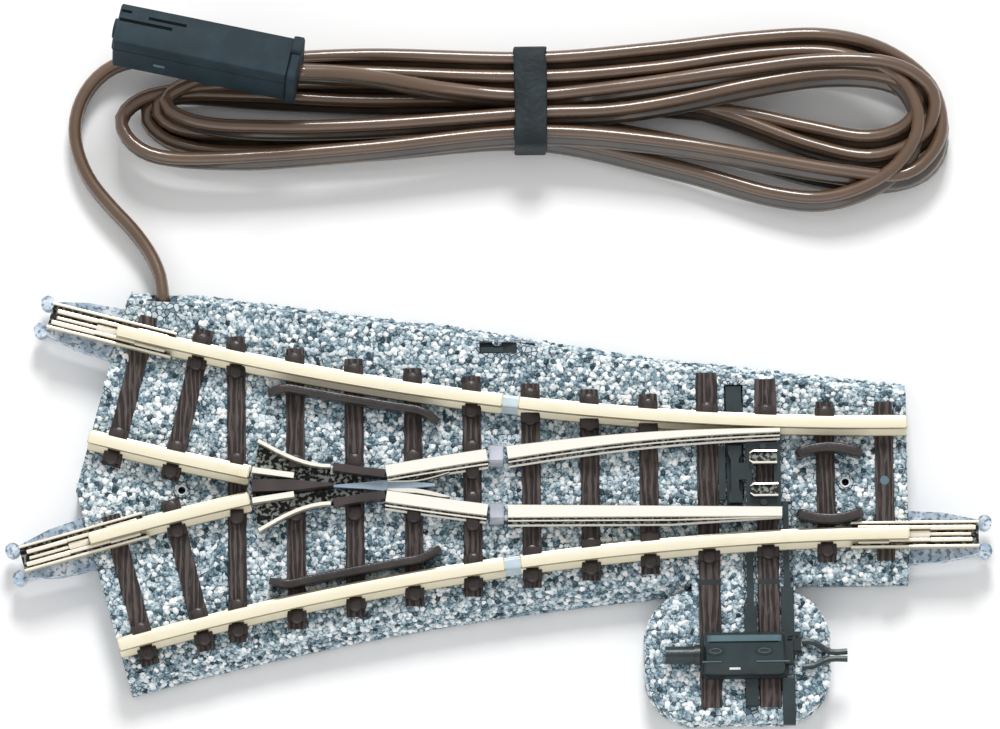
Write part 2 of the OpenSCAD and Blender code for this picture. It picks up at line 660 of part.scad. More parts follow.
module coil_terminals() {
    color([0.85, 0.75, 0.45]) for (s = [-1, 1])
        box([10.6, coil_y + s * 0.9 - 0.35, cover_t], [12.6, coil_y + s * 0.9 + 0.35, cover_t + 0.3]);
}

module lead_anchor() {
    color([0.2, 0.22, 0.22]) difference() {
        box([lead_x - lead_w / 2 - 0.9, 13, cover_t], [lead_x + lead_w / 2 + 0.9, 14.3, bay_top]);
        box([lead_x - lead_w / 2, 12, cover_t + 0.3], [lead_x + lead_w / 2, 15, bay_top - 0.3]);
    }
}

function jumper_box(side) = [[leg_rail_x + 0.5, side * 2.4 - 0.6], [pivot[0] - 1.5, side * 2.4 + 0.6]];
module jumper_grooves() {
    for (side = [NORTH, SOUTH]) let(b = jumper_box(side))
        box([b[0][0], b[0][1], -1], [b[1][0], b[1][1], 1]);
}
module jumper_strips() {
    color([0.8, 0.7, 0.4]) for (side = [NORTH, SOUTH]) let(b = jumper_box(side))
        box([b[0][0] + 0.1, b[0][1] + 0.1, 0.7], [b[1][0] - 0.1, b[1][1] - 0.1, 1]);
}

// Rail joiners: a folded sheet channel that holds the foot, with a spring strip each side of the web.
module joiner_shape() {
    inside = 5.2;
    outside = 6.3;
    t = 0.15;
    w = rail_foot_w + 0.1;
    color([0.9, 0.87, 0.75]) translate([0, -rail_y, sleeper_top + 0.05]) union() {
        for (s = [-1, 1]) {
            translate([-inside, s > 0 ? w / 2 : -w / 2 - t, 0]) cube([inside + outside, t, rail_foot_t + 0.25]);
            translate([-inside, s > 0 ? rail_web_t / 2 + 0.05 : -w / 2 - t, rail_foot_t + 0.1])
                cube([inside + outside, w / 2 + t - rail_web_t / 2 - 0.05, t]);
            translate([-inside, s > 0 ? rail_web_t / 2 + 0.05 : -rail_web_t / 2 - 0.05 - t, rail_foot_t + 0.1])
                cube([inside + outside - 0.6, t, 0.8]);
        }
        translate([eps, -w / 2 - t, 0]) cube([outside - eps, w + 2 * t, t]);
    }
}

// Dummy point machine

module machine_base() {
    half = [machine_w / 2, machine_d / 2];
    r = machine_corner_r;
    color([0.72, 0.78, 0.8]) difference() {
        union() {
            translate([machine_x, machine_y, 0]) {
                translate([-half[0] + r, -half[1], 0]) cube([machine_w - 2 * r, machine_d, ballast_h]);
                translate([-half[0], -half[1] + r, 0]) cube([machine_w, machine_d - 2 * r, ballast_h]);
                for (sx = [-1, 1], sy = [-1, 1])
                    translate([sx * (half[0] - r), sy * (half[1] - r), 0]) cylinder(r = r, h = ballast_h);
            }
            box([machine_x + machine_neck[0], machine_y, 0],
                [machine_x + machine_neck[1], machine_joint_y, ballast_h]);
        }
        machine_sleeper_bars();
        machine_rod_grooves();
    }
}

module machine_sleeper_bars() {
    for (i = machine_sleeper_ids)
        box([sleeper_xs[i] - machine_sleeper_w / 2, machine_sleeper_end, sleeper_top - sleeper_h],
            [sleeper_xs[i] + machine_sleeper_w / 2, machine_joint_y - 0.05, sleeper_top]);
}

module machine_sleepers() { color([0.3, 0.25, 0.23]) machine_sleeper_bars(); }

body_y = machine_joint_y - 6.75;
body_len = 8;
body_d = 4.2;
body_z0 = sleeper_top + 0.1;
module machine_body() {
    x0 = machine_x - 3.4;
    color([0.13, 0.2, 0.2]) union() {
        box([x0, body_y - body_d / 2, sleeper_top], [x0 + body_len, body_y + body_d / 2, sleeper_top + 0.5]);
        translate([x0 + 0.4, body_y, sleeper_top + 0.4]) rotate([90, 0, 90]) linear_extrude(body_len - 0.8)
            polygon([[-1.8, 0], [1.8, 0], [1.8, 0.9], [0.9, 1.8], [-0.9, 1.8], [-1.8, 0.9]]);
        for (x = [0.9, 5]) translate([x0 + x, body_y - 0.3, sleeper_top + 2.1]) cube([1.5, 0.55, 0.35]);
        box([x0 + body_len - eps, body_y - 0.2, sleeper_top], [x0 + body_len + 1.1, body_y + 0.9, sleeper_top + 1.1]);
    }
}

module machine_motor() {
    x1 = machine_x - 3.4;
    color([0.14, 0.2, 0.2]) translate([x1, body_y, sleeper_top + 0.95]) rotate([0, -90, 0]) {
        cylinder(r = 0.8, h = 3.1);
        cylinder(r = 0.95, h = 0.5);
    }
}

module machine_rod_grooves() {
    for (rod = [[throw_rod_x, 1.2, -6.3], [detector_rod_x, 1.18, rod_north_y + 0.1]])
        box([rod[0] - rod[1] / 2, machine_sleeper_end - 2.2, ballast_h - 0.25],
            [rod[0] + rod[1] / 2, rod[2], ballast_h + 1]);
}

module throw_rod() {
    x = throw_rod_x;
    z = ballast_h - 0.25;
    y1 = body_y + body_d / 2;
    y0 = body_y - body_d / 2;
    color([0.12, 0.18, 0.18]) union() {
        box([x - 0.3, y1 + 1.9, z], [x + 0.3, -6.4, z + 0.5]);
        box([x - 0.55, y1, z], [x + 0.55, y1 + 2.4, z + 0.75]);
        box([x - 0.55, y0 - 2.4, z], [x + 0.55, y0, z + 0.75]);
    }
}

rod_north_y = -1.8;
module detector_rod() {
    x = detector_rod_x;
    z = ballast_h - 0.25;
    y1 = body_y + body_d / 2;
    y0 = body_y - body_d / 2;
    color([0.12, 0.18, 0.18]) union() {
        box([x - 0.25, y1 + 3.8, z], [x + 0.25, rod_north_y, z + 0.5]);
        box([x - 0.56, y1, z], [x + 0.56, y1 + 4.1, z + 0.75]);
        box([x - 0.56, y0 - 4.2, z], [x + 0.56, y0, z + 0.75]);
    }
}

// Two stub cables of the dummy machine
module machine_cables() {
    x = machine_x + 5.75;
    z = sleeper_top + 0.4;
    for (s = [-1, 1]) let(route = [[x, body_y + s * 1.15 + 0.05, z], [x + 1.1, body_y + s * 1.05 + 0.05, z],
        [x + 2.5, body_y + s * 0.34 - 0.1, z], [x + 4.1, body_y + s * 0.34 - 0.1, z]])
        color([0.1, 0.12, 0.12]) swept_tube(route, 0.28, 10, 8);
}

// Lead

// A smooth curve through the route's points, sampled evenly in each span.
function spline_at(p, i, u) = let(
    n = len(p) - 1, a = p[max(i - 1, 0)], b = p[i], c = p[min(i + 1, n)], d = p[min(i + 2, n)]
) 0.5 * ((2 * b) + (c - a) * u + (2 * a - 5 * b + 4 * c - d) * u * u + (3 * b - a - 3 * c + d) * u * u * u);
function route_at(p, share) = let(
    spans = len(p) - 1, s = min(share * spans, spans - 0.0001), i = floor(s)
) spline_at(p, i, s - i);

module swept_tube(route, r, rings, sides) {
    centres = [for (k = [0 : rings - 1]) route_at(route, k / (rings - 1))];
    function heading(k) = let(d = centres[min(k + 1, rings - 1)] - centres[max(k - 1, 0)]) d / norm(d);
    function across(k) = let(c = cross(heading(k), [0, 0, 1])) c / norm(c);
    function upward(k) = cross(across(k), heading(k));
    points = [for (k = [0 : rings - 1], j = [0 : sides - 1])
        centres[k] + r * (cos(360 * j / sides) * across(k) + sin(360 * j / sides) * upward(k))];
    walls = [for (k = [0 : rings - 2], j = [0 : sides - 1]) let(n = (j + 1) % sides)
        for (face = [[k * sides + j, (k + 1) * sides + n, k * sides + n],
            [k * sides + j, (k + 1) * sides + j, (k + 1) * sides + n]]) face];
    start = [for (j = [0 : sides - 1]) j];
    finish = [for (j = [sides - 1 : -1 : 0]) (rings - 1) * sides + j];
    polyhedron(points, concat([start], walls, [finish]));
}

module lead_tube() { color([0.45, 0.33, 0.25]) swept_tube(lead_route, lead_w / 2, lead_rings, 8); }

module hank_plan() {
    waist = [[hank_waist_x - 2, hank_waist_y[0]], [hank_waist_x + 2, hank_waist_y[0]],
        [hank_waist_x + 2, hank_waist_y[1]], [hank_waist_x - 2, hank_waist_y[1]]];
    translate(hank_left) circle(r = hank_left_r);
    translate(hank_right) circle(r = hank_right_r);
    polygon([hank_left - [0, hank_left_r], waist[0], waist[1], hank_right - [0, hank_right_r],
        hank_right + [0, hank_right_r], waist[2], waist[3], hank_left + [0, hank_left_r]]);
}

module lead_hank() {
    color([0.45, 0.33, 0.25]) translate([0, 0, band_t]) linear_extrude(hank_h) hank_plan();
}

module tie_band() {
    x0 = hank_waist_x - band_w / 2;
    color([0.2, 0.24, 0.26]) difference() {
        box([x0, hank_waist_y[0] - band_t, 0], [x0 + band_w, hank_waist_y[1] + band_t, hank_h + 2 * band_t]);
        box([x0 - 1, hank_waist_y[0], band_t], [x0 + band_w + 1, hank_waist_y[1], hank_h + band_t]);
    }
}

// Plug: drawn lying along +X with its sockets at the low end, then laid on the hank.
module place_plug() {
    translate(plug_base) rotate([0, 0, plug_yaw]) rotate([plug_roll, 0, 0]) translate([-plug_len / 2, 0, 0])
        children();
}

socket_pitch = 2;
socket_depth = 6;
module plug_housing() {
    color([0.2, 0.26, 0.29]) place_plug() difference() {
        translate([0, -plug_w / 2, 0]) cube([plug_len - 0.9, plug_w, plug_h]);
        for (s = [-1, 1]) translate([-1, 0, plug_h / 2 + s * socket_pitch / 2]) rotate([0, 90, 0])
            cylinder(r = socket_r, h = socket_depth + 1);
        for (y = [0.3, 1.2]) translate([1.2, y, plug_h - 0.4]) cube([4, 0.3, 1]);
    }
}

module plug_contacts() {
    color([0.85, 0.75, 0.45]) place_plug() for (s = [-1, 1])
        translate([2, 0, plug_h / 2 + s * socket_pitch / 2]) rotate([0, 90, 0]) difference() {
            cylinder(r = socket_r, h = socket_depth - 2.2);
            translate([0, 0, -1]) cylinder(r = socket_r - 0.2, h = socket_depth - 2);
        }
}

module plug_collar() {
    color([0.2, 0.26, 0.29]) place_plug() difference() {
        translate([plug_len - 0.9, -plug_w / 2 - 0.35, -0.05]) cube([0.9, plug_w + 0.7, plug_h + 0.4]);
        translate([plug_len - 2, -core_d / 2, plug_h / 2 - core_d]) cube([4, core_d, lead_w]);
    }
}

roadbed();
bottom_cover();
cover_screws();
sleepers();
check_rails();
stock_rail_toe(NORTH);  // stock_rail_toe_north
stock_rail_toe(SOUTH);  // stock_rail_toe_south
stock_rail_heel(NORTH);  // stock_rail_heel_north
stock_rail_heel(SOUTH);  // stock_rail_heel_south
leg_rail(NORTH);  // leg_rail_north
leg_rail(SOUTH);  // leg_rail_south
gap_block(NORTH);  // gap_block_north
gap_block(SOUTH);  // gap_block_south
frog_nose();
frog_floor();
wing_plate(NORTH);  // wing_plate_north
wing_plate(SOUTH);  // wing_plate_south
wing_rail(NORTH);  // wing_rail_north
wing_rail(SOUTH);  // wing_rail_south
closure_rail(NORTH);  // closure_rail_north
closure_rail(SOUTH);  // closure_rail_south
heel_clip(NORTH);  // heel_clip_north
heel_clip(SOUTH);  // heel_clip_south
heel_pins();
at_toe_end() joiner_shape();  // joiner_toe
at_leg_end(NORTH) joiner_shape();  // joiner_leg_north
at_leg_end(SOUTH) joiner_shape();  // joiner_leg_south
coil_bobbin();
coil_winding();
pole_plates();
coil_terminals();
lead_anchor();
jumper_strips();
arm_guide();
machine_base();
machine_sleepers();
machine_body();
machine_motor();
throw_rod();
detector_rod();
machine_cables();
drive_slider();
drive_magnet();
hand_lever();
tie_bar();
drive_arm();
blade(NORTH);  // blade_north
blade_tab(NORTH);  // blade_tab_north
blade(SOUTH);  // blade_south
blade_tab(SOUTH);  // blade_tab_south
lead_tube();
lead_hank();
tie_band();
plug_housing();
plug_contacts();
plug_collar();
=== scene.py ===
"""Looks of a small railway turnout: ballast, sleepers, rails, points, dummy point machine, lead and plug."""

import math

import bmesh
import bpy
import numpy as np
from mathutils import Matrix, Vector


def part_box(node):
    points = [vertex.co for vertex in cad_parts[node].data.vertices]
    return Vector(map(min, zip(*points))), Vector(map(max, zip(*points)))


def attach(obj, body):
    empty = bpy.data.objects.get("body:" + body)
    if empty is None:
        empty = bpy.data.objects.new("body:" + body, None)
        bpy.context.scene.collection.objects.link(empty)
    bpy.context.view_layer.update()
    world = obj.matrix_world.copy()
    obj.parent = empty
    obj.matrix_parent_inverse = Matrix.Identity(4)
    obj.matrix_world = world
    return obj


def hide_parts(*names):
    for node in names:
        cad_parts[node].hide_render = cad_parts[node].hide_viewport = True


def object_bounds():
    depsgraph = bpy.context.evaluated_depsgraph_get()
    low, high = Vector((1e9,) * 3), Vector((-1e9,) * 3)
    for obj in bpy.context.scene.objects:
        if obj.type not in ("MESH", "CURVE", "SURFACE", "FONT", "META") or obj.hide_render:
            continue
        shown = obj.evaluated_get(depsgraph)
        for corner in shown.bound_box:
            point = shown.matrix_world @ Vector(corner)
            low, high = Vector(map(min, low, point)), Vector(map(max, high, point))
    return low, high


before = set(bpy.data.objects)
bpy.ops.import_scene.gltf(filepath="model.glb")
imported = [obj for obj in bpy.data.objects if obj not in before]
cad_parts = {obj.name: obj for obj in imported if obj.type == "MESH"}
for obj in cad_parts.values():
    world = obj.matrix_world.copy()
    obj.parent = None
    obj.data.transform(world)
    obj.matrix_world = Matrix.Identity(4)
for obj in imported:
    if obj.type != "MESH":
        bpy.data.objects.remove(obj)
cad_low, cad_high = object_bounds()
MM = 0.001
NORTH, SOUTH = 1, -1
SIDES = (("north", NORTH), ("south", SOUTH))

# Driving sizes in millimetres, named as in the CAD source
curve_radius = 280.0
leg_angle = math.radians(15)
rail_y = 5.05
outer_r = curve_radius - rail_y
inner_r = curve_radius + rail_y
track_len = curve_radius * math.sin(leg_angle)
leg_end_y = curve_radius * (1 - math.cos(leg_angle))
ballast_h = 3.3
skirt_h = 0.7
shoulder_run = 1.2
sleeper_top = 3.6
sleeper_h = 0.7
sleeper_w = 1.7
sleeper_pitch = 5.31
core_d = 1.2
half_w = 9.1
head_half = 0.55
leg_end_shift = -leg_end_y * math.tan(leg_angle)
toe_to_pivot = 37.07
pivot_x = track_len - toe_to_pivot
pivot_y = math.sqrt(inner_r**2 - toe_to_pivot**2) - curve_radius
gap_x = pivot_x + 1.35
gap_len = 1.4


def mm(node):
    """A CAD node's lowest and highest corners, in millimetres."""
    low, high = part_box(node)
    return np.array(low) / MM, np.array(high) / MM


def turn_at(x, r):
    """Turn, about the leg's centre, at which a circle of radius r passes a place along the track."""
    return math.asin((track_len - x) / r)


def arc_y(x, r):
    """Distance from the centre line at which a circle of radius r, about a leg's centre, passes x."""
    return curve_radius - np.sqrt(r**2 - (track_len - x) ** 2)


def raised(xy, z):
    """Plan points at one height."""
    return np.column_stack([xy, np.full(len(xy), z)])


def leg_line(r, turn_a, turn_b, side, count):
    """Points on a leg: x = track_len - r sin t and y = side (curve_radius - r cos t), for t from turn_a to turn_b."""
    t = np.linspace(turn_a, turn_b, count)
    return raised(np.stack([track_len - r * np.sin(t), side * (curve_radius - r * np.cos(t))], -1), sleeper_top)


# Meshes


def unit(v):
    return v / np.linalg.norm(v, axis=-1, keepdims=True)


def spline(points, per_span):
    """Catmull-Rom curve: every span runs from one point to the next with the neighbours' chord as its slope."""
    p = np.asarray(points, float)
    p = np.vstack([2 * p[:1] - p[1:2], p, 2 * p[-1:] - p[-2:-1]])
    u = np.linspace(0, 1, per_span, endpoint=False)[None, :, None]
    a, b, c, d = (p[k : len(p) - 3 + k, None, :] for k in range(4))
    curve = 0.5 * (2 * b + (c - a) * u + (2 * a - 5 * b + 4 * c - d) * u**2 + (3 * b - a - 3 * c + d) * u**3)
    return np.vstack([curve.reshape(-1, p.shape[1]), p[-2]])


def even(points, step):
    """The same line with points a fixed distance apart, by the length run so far."""
    run = np.concatenate([[0], np.cumsum(np.linalg.norm(np.diff(points, axis=0), axis=1))])
    at = np.linspace(0, run[-1], max(2, int(round(run[-1] / step)) + 1))
    return np.stack([np.interp(at, run, points[:, k]) for k in range(points.shape[1])], -1)


def wheel(count):
    """Points round a circle of radius 1."""
    t = np.linspace(0, 2 * math.pi, count, endpoint=False)
    return np.stack([np.cos(t), np.sin(t)], -1)


def lattice(n, k, closed=False):
    """Faces between n rings of k points, and from the last ring back to the first where closed."""
    i, j = np.meshgrid(np.arange(n if closed else n - 1), np.arange(k), indexing="ij")
    i2, j2 = (i + 1) % n, (j + 1) % k
    return np.stack([i * k + j, i2 * k + j, i2 * k + j2, i * k + j2], -1).reshape(-1, 4).tolist()


def bar_faces(n, k):
    """Faces of a bar of n rings of k points, with flat ends."""
    return lattice(n, k) + [list(range(k)), list(range(n * k - 1, (n - 1) * k - 1, -1))]


def sweep(profile, path, roll=0.0):
    """Closed bar: ring i is path[i] + px side + py up, with side = travel x vertical turned by roll; ends are flat.
    profile is k x 2, or rings x k x 2 where the section changes along the path."""
    path = np.asarray(path, float)
    n = len(path)
    rings = np.broadcast_to(np.asarray(profile, float), (n,) + np.shape(profile)[-2:])
    along = unit(np.gradient(path, axis=0))
    side = unit(np.cross(along, [0, 0, 1.0]))
    up = np.cross(side, along)
    c, s = np.cos(roll) * np.ones(n), np.sin(roll) * np.ones(n)
    across, above = c[:, None] * side + s[:, None] * up, c[:, None] * up - s[:, None] * side
    points = path[:, None] + (rings[..., :1] * across[:, None] + rings[..., 1:] * above[:, None])
    return points.reshape(-1, 3), bar_faces(n, rings.shape[1])


def band(profile, path):
    """Closed loop: like sweep, but the last ring joins the first, and every ring faces along the world's X axis."""
    along = unit(np.roll(path, -1, axis=0) - np.roll(path, 1, axis=0))
    out = np.cross(along, [1.0, 0, 0])
    points = path[:, None] + profile[None, :, :1] * np.array([1.0, 0, 0]) + profile[None, :, 1:] * out[:, None]
    return points.reshape(-1, 3), lattice(len(path), len(profile), True)


def hoop(outline, middle, z, profile):
    """Ring round an upright axis through middle: each outline point carries the profile, drawn outwards and up."""
    at = raised(outline + middle, z)
    out = unit(at * [1, 1, 0] - [*middle, 0])
    points = at[:, None] + profile[None, :, :1] * out[:, None] + profile[None, :, 1:] * np.array([0, 0, 1.0])
    return points.reshape(-1, 3), lattice(len(at), len(profile), True)


def stacked(levels):
    """Upright solid through (outline, height) levels, from the bottom up."""
    points = np.vstack([raised(outline, z) for outline, z in levels])
    k = len(levels[0][0])
    faces = [[q * k + j, q * k + (j + 1) % k, (q + 1) * k + (j + 1) % k, (q + 1) * k + j]
             for q in range(len(levels) - 1) for j in range(k)]
    return points, faces + [list(range(k - 1, -1, -1)), list(range(len(points) - k, len(points)))]


def prism(outline, z0, z1, bevel=0.0):
    """Upright block on an outline, whose top edge is drawn in towards the middle by a bevel of that size."""
    outline = np.asarray(outline, float)
    middle = outline.mean(0)
    reach = np.linalg.norm(outline - middle, axis=1, keepdims=True)
    inner = middle + (outline - middle) * (1 - bevel / reach)
    return stacked([(outline, z0), (outline, z1 - bevel), (inner, z1)] if bevel else [(outline, z0), (outline, z1)])


def slab(x0, y0, x1, y1, z0, z1, bevel=0.0):
    """Rectangular block between two corners."""
    return prism([[x0, y0], [x1, y0], [x1, y1], [x0, y1]], z0, z1, bevel)


def merged(parts):
    """Several point and face lists as one."""
    points, faces, start = [], [], 0
    for p, f in parts:
        points.append(p)
        faces += [[start + i for i in face] for face in f]
        start += len(p)
    return np.vstack(points), faces


def piece(name, shape, finish, body="root", stands_for=(), crease=35, slot=None, outward=True, **marks):
    """A mesh object from points in millimetres, smooth but for edges sharper than crease degrees, and flat where crease
    is 0. Every further argument becomes a number at each point that the finish can read."""
    points, faces = shape
    mesh = bpy.data.meshes.new(name)
    mesh.from_pydata((np.asarray(points) * MM).tolist(), [], faces)
    if outward:
        edit = bmesh.new()
        edit.from_mesh(mesh)
        bmesh.ops.recalc_face_normals(edit, faces=edit.faces)
        edit.to_mesh(mesh)
        edit.free()
    for mark, numbers in marks.items():
        mesh.attributes.new(mark, "FLOAT", "POINT").data.foreach_set("value", np.asarray(numbers, np.float32))
    if crease:
        mesh.shade_smooth()
        mesh.set_sharp_from_angle(angle=math.radians(crease))
    else:
        mesh.shade_flat()
    mesh.materials.append(finish)
    made = bpy.data.objects.new(name, mesh)
    bpy.context.scene.collection.objects.link(made)
    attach(made, body)
    if stands_for:
        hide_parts(*stands_for)
    return made


def rounded(width, height, r, per_corner=4, low=0.0):
    """Rectangle with quarter-circle corners, centred across and standing on low."""
    t = np.linspace(0, math.pi / 2, per_corner)
    x, top = width / 2 - r, height - r
    corners = [(x, top, 0), (-x, top, 1), (-x, r, 2), (x, r, 3)]
    return np.vstack([np.stack([x + r * np.cos(t + q * math.pi / 2), low + z + r * np.sin(t + q * math.pi / 2)], -1)
                      for x, z, q in corners])


# Finishes


class Value:
    """A shader socket: arithmetic on it adds Math nodes."""

    def __init__(self, finish, socket):
        self.finish, self.socket = finish, socket

    def math(self, operation, *values):
        return self.finish.node("ShaderNodeMath", {"operation": operation}, dict(enumerate(values)))

    def __add__(self, other):
        return self.math("ADD", self, other)

    def __sub__(self, other):
        return self.math("SUBTRACT", self, other)

    def __rsub__(self, other):
        return self.math("SUBTRACT", other, self)

    def __mul__(self, other):
        return self.math("MULTIPLY", self, other)

    def __truediv__(self, other):
        return self.math("DIVIDE", self, other)

    __radd__ = __add__
    __rmul__ = __mul__

    def step(self, low, high):
        """0 below low, 1 above high and a smooth rise between."""
        sockets = {0: self, 1: low, 2: high, 3: 0.0, 4: 1.0}
        return self.finish.node("ShaderNodeMapRange", {"interpolation_type": "SMOOTHSTEP"}, sockets)


class Finish:
    """A material: node() adds any node from its type, its settings and its sockets' values or links."""

    def __init__(self, name, **fixed):
        self.material = bpy.data.materials.new(name)
        self.material.use_nodes = True
        self.tree = self.material.node_tree
        self.shader = self.tree.nodes["Principled BSDF"]
        self.feed(self.shader, {k.replace("_", " "): v for k, v in fixed.items()})

    def feed(self, node, sockets):
        for key, value in sockets.items():
            if isinstance(value, Value):
                self.tree.links.new(value.socket, node.inputs[key])
            else:
                node.inputs[key].default_value = value

    def node(self, kind, settings=None, sockets=None, out=0):
        made = self.tree.nodes.new(kind)
        for key, value in (settings or {}).items():
            if key == "stops":
                ramp = made.color_ramp
                while len(ramp.elements) < len(value):
                    ramp.elements.new(0.5)
                for element, (place, colour) in zip(ramp.elements, value):
                    element.position, element.color = place, colour
            else:
                setattr(made, key, value)
        self.feed(made, sockets or {})
        return Value(self, made.outputs[out])

    def place(self, sx=1.0, sy=1.0, sz=1.0):
        """Object coordinates in millimetres, stretched along each axis."""
        at = self.node("ShaderNodeTexCoord", out=3)
        return self.node("ShaderNodeMapping", {"vector_type": "POINT"}, {
            "Vector": at, "Scale": (sx / MM, sy / MM, sz / MM)})

    def mark(self, name):
        """The number of that name which the piece carries at each point."""
        return self.node("ShaderNodeAttribute", {"attribute_name": name}, {}, out=2)

    def axis(self, vector, k):
        return self.node("ShaderNodeSeparateXYZ", {}, {0: vector}, out=k)

    def noise(self, scale, detail=3.0, at=None):
        return self.node("ShaderNodeTexNoise", {}, {"Vector": at or self.place(), "Scale": scale, "Detail": detail})

    def mix(self, factor, a, b, blend="MIX"):
        return self.node("ShaderNodeMix", {"data_type": "RGBA", "blend_type": blend}, {0: factor, 6: a, 7: b}, out=2)

    def bump(self, height, depth, strength=1.0):
        self.feed(self.shader, {"Normal": self.node("ShaderNodeBump", {}, {
            "Height": height, "Distance": depth * MM, "Strength": strength})})


def rgb(r, g, b):
    """A colour given as it looks on a screen, from 0 to 255, made linear."""
    return tuple(((c / 255 + 0.055) / 1.055) ** 2.4 if c > 10 else c / 3295 for c in (r, g, b)) + (1.0,)


def stone_finish():
    """Ballast stones: each has its own tone from dark slate blue to white, with fine grit and speckles."""
    f = Finish("ballast_stone", **{"Specular IOR Level": 0.35})
    tone = f.mark("tone")
    grit = f.noise(4.2, 5.0)
    shade = f.node("ShaderNodeValToRGB", {"stops": [
        (0.0, rgb(34, 54, 62)), (0.3, rgb(96, 122, 136)), (0.52, rgb(158, 180, 190)), (0.74, rgb(218, 228, 232)),
        (1.0, rgb(254, 255, 255))]}, {0: tone + (grit - 0.5) * 1.3})
    f.feed(f.shader, {"Base Color": shade, "Roughness": 0.62 + grit * 0.25})
    f.bump(grit, 0.1, 0.5)
    return f.material


def bed_finish():
    """The moulded bed under the stones: blue-grey grains with dark joints. Its coupling tongues, which stand out past
    the toe and past both heel ends, are pale and smoother, with sparse dark specks."""
    f = Finish("ballast_bed", **{"Specular IOR Level": 0.25})
    edge = f.node("ShaderNodeTexVoronoi", {"feature": "DISTANCE_TO_EDGE"}, {"Vector": f.place(), "Scale": 2.1})
    grain = f.node("ShaderNodeTexVoronoi", {}, {"Vector": f.place(), "Scale": 2.1}, out=1)
    joint = edge.step(0.0, 0.1)
    tone = f.node("ShaderNodeSeparateColor", {}, {0: grain})
    stone = f.mix(tone, rgb(110, 134, 148), rgb(214, 226, 232))
    grains = f.mix(joint, rgb(44, 60, 70), stone)
    at = f.node("ShaderNodeTexCoord", out=3)
    x, y = f.axis(at, 0) / MM, f.axis(at, 1) / MM
    heel = y.math("ABSOLUTE", y) * math.tan(leg_angle) - (x - leg_end_shift)
    tongue = x.step(track_len, track_len + 0.1) + heel.step(0.05, 0.15)
    specks = f.noise(2.4, 5.0).step(0.5, 0.6)
    pale = f.mix(f.noise(0.8, 3.0).step(0.35, 0.65), rgb(160, 180, 200), rgb(222, 232, 242))
    pale = f.mix(specks * 0.75, pale, rgb(66, 88, 100))
    f.feed(f.shader, {"Base Color": f.mix(tongue, grains, pale), "Roughness": 0.85 - tongue * 0.45})
    f.bump(joint * (1 - tongue), 0.15, 0.8)
    return f.material


def wood_finish(name, light, dark, worn_tone):
    """Moulded plastic with wood grain: long dark grooves that run along the sleeper, wavering a little."""
    f = Finish(name, **{"Specular IOR Level": 0.4})
    waver = f.noise(0.5, 2.0)
    fine = f.noise(1.0, 5.0, f.place(6.5, 0.7))
    groove = f.node("ShaderNodeTexWave", {"bands_direction": "X"}, {
        "Vector": f.place(1.0, 0.16, 0.3), "Scale": 0.62, "Distortion": 9.0, "Detail": 2.5, "Detail Scale": 1.1,
        "Detail Roughness": 0.6}, out=1)
    cut = (groove * 0.45 + fine * 0.75).step(0.3, 0.82)
    worn = f.noise(1.3, 4.0, f.place(2.2, 0.5))
    body = f.mix(cut, rgb(*dark), rgb(*light))
    f.feed(f.shader, {"Base Color": f.mix(worn.step(0.52, 0.72) * 0.45, body, rgb(*worn_tone)),
                      "Roughness": 0.46 + waver * 0.25})
    f.bump(cut, 0.14, 1.0)
    return f.material


def moulded(name, base, varied, roughness=0.45, grain=9.0, depth=0.02, **fixed):
    """Moulded plastic: a slow drift of tone and fine pitting."""
    f = Finish(name, **fixed)
    drift, pits = f.noise(0.35, 3.0), f.noise(grain, 4.0)
    colour = f.mix(drift.step(0.3, 0.7), rgb(*base), rgb(*varied))
    f.feed(f.shader, {"Base Color": colour, "Roughness": roughness + (pits - 0.5) * 0.25})
    f.bump(pits, depth, 0.6)
    return f.material


def metal(name, top, flank, metallic=0.75, roughness=0.3, scratch=(0.5, 7.0), shadow=None):
    """Rolled metal with fine marks along its length. Its colour carries painted light: faces that look up take the top
    colour as a painted highlight, and the flanks take the darker, warmer flank colour as painted shade. Where the
    piece's own number called dark is 1, and on a pressed plate's floor below the height shadow, it is painted shade:
    almost black with bright flecks."""
    f = Finish(name, Metallic=metallic)
    top, flank = rgb(*top), rgb(*flank)
    facing = f.axis(f.node("ShaderNodeNewGeometry", out=1), 2)
    marks = f.noise(1.0, 4.0, f.place(scratch[0], scratch[1], 3.0))
    stain = f.noise(0.4, 3.0)
    # Painted light: faces that look up take the top colour as a painted highlight, and the flanks the flank colour as
    # painted shade.
    colour = f.mix(facing.step(0.35, 0.9), flank, top)
    colour = f.mix(stain.step(0.55, 0.85) * 0.22, colour, flank)
    # Painted shade: near black with bright flecks where the dark number is 1 and, on a plate, below the shadow height.
    dark = f.mark("dark").step(0.35, 0.65)
    if shadow:
        height = f.axis(f.node("ShaderNodeTexCoord", out=3), 2) / MM
        dark = 1 - height.step(shadow - 0.05, shadow + 0.05)
    flecks = f.noise(3.0, 6.0).step(0.49, 0.58)
    colour = f.mix(dark, colour, f.mix(flecks * (0.75 if shadow else 0.45), rgb(16, 20, 20), rgb(198, 204, 196)))
    f.feed(f.shader, {"Base Color": colour, "Roughness": roughness + (marks - 0.5) * 0.3 + dark * 0.3})
    f.bump(marks, 0.01, 0.5)
    return f.material


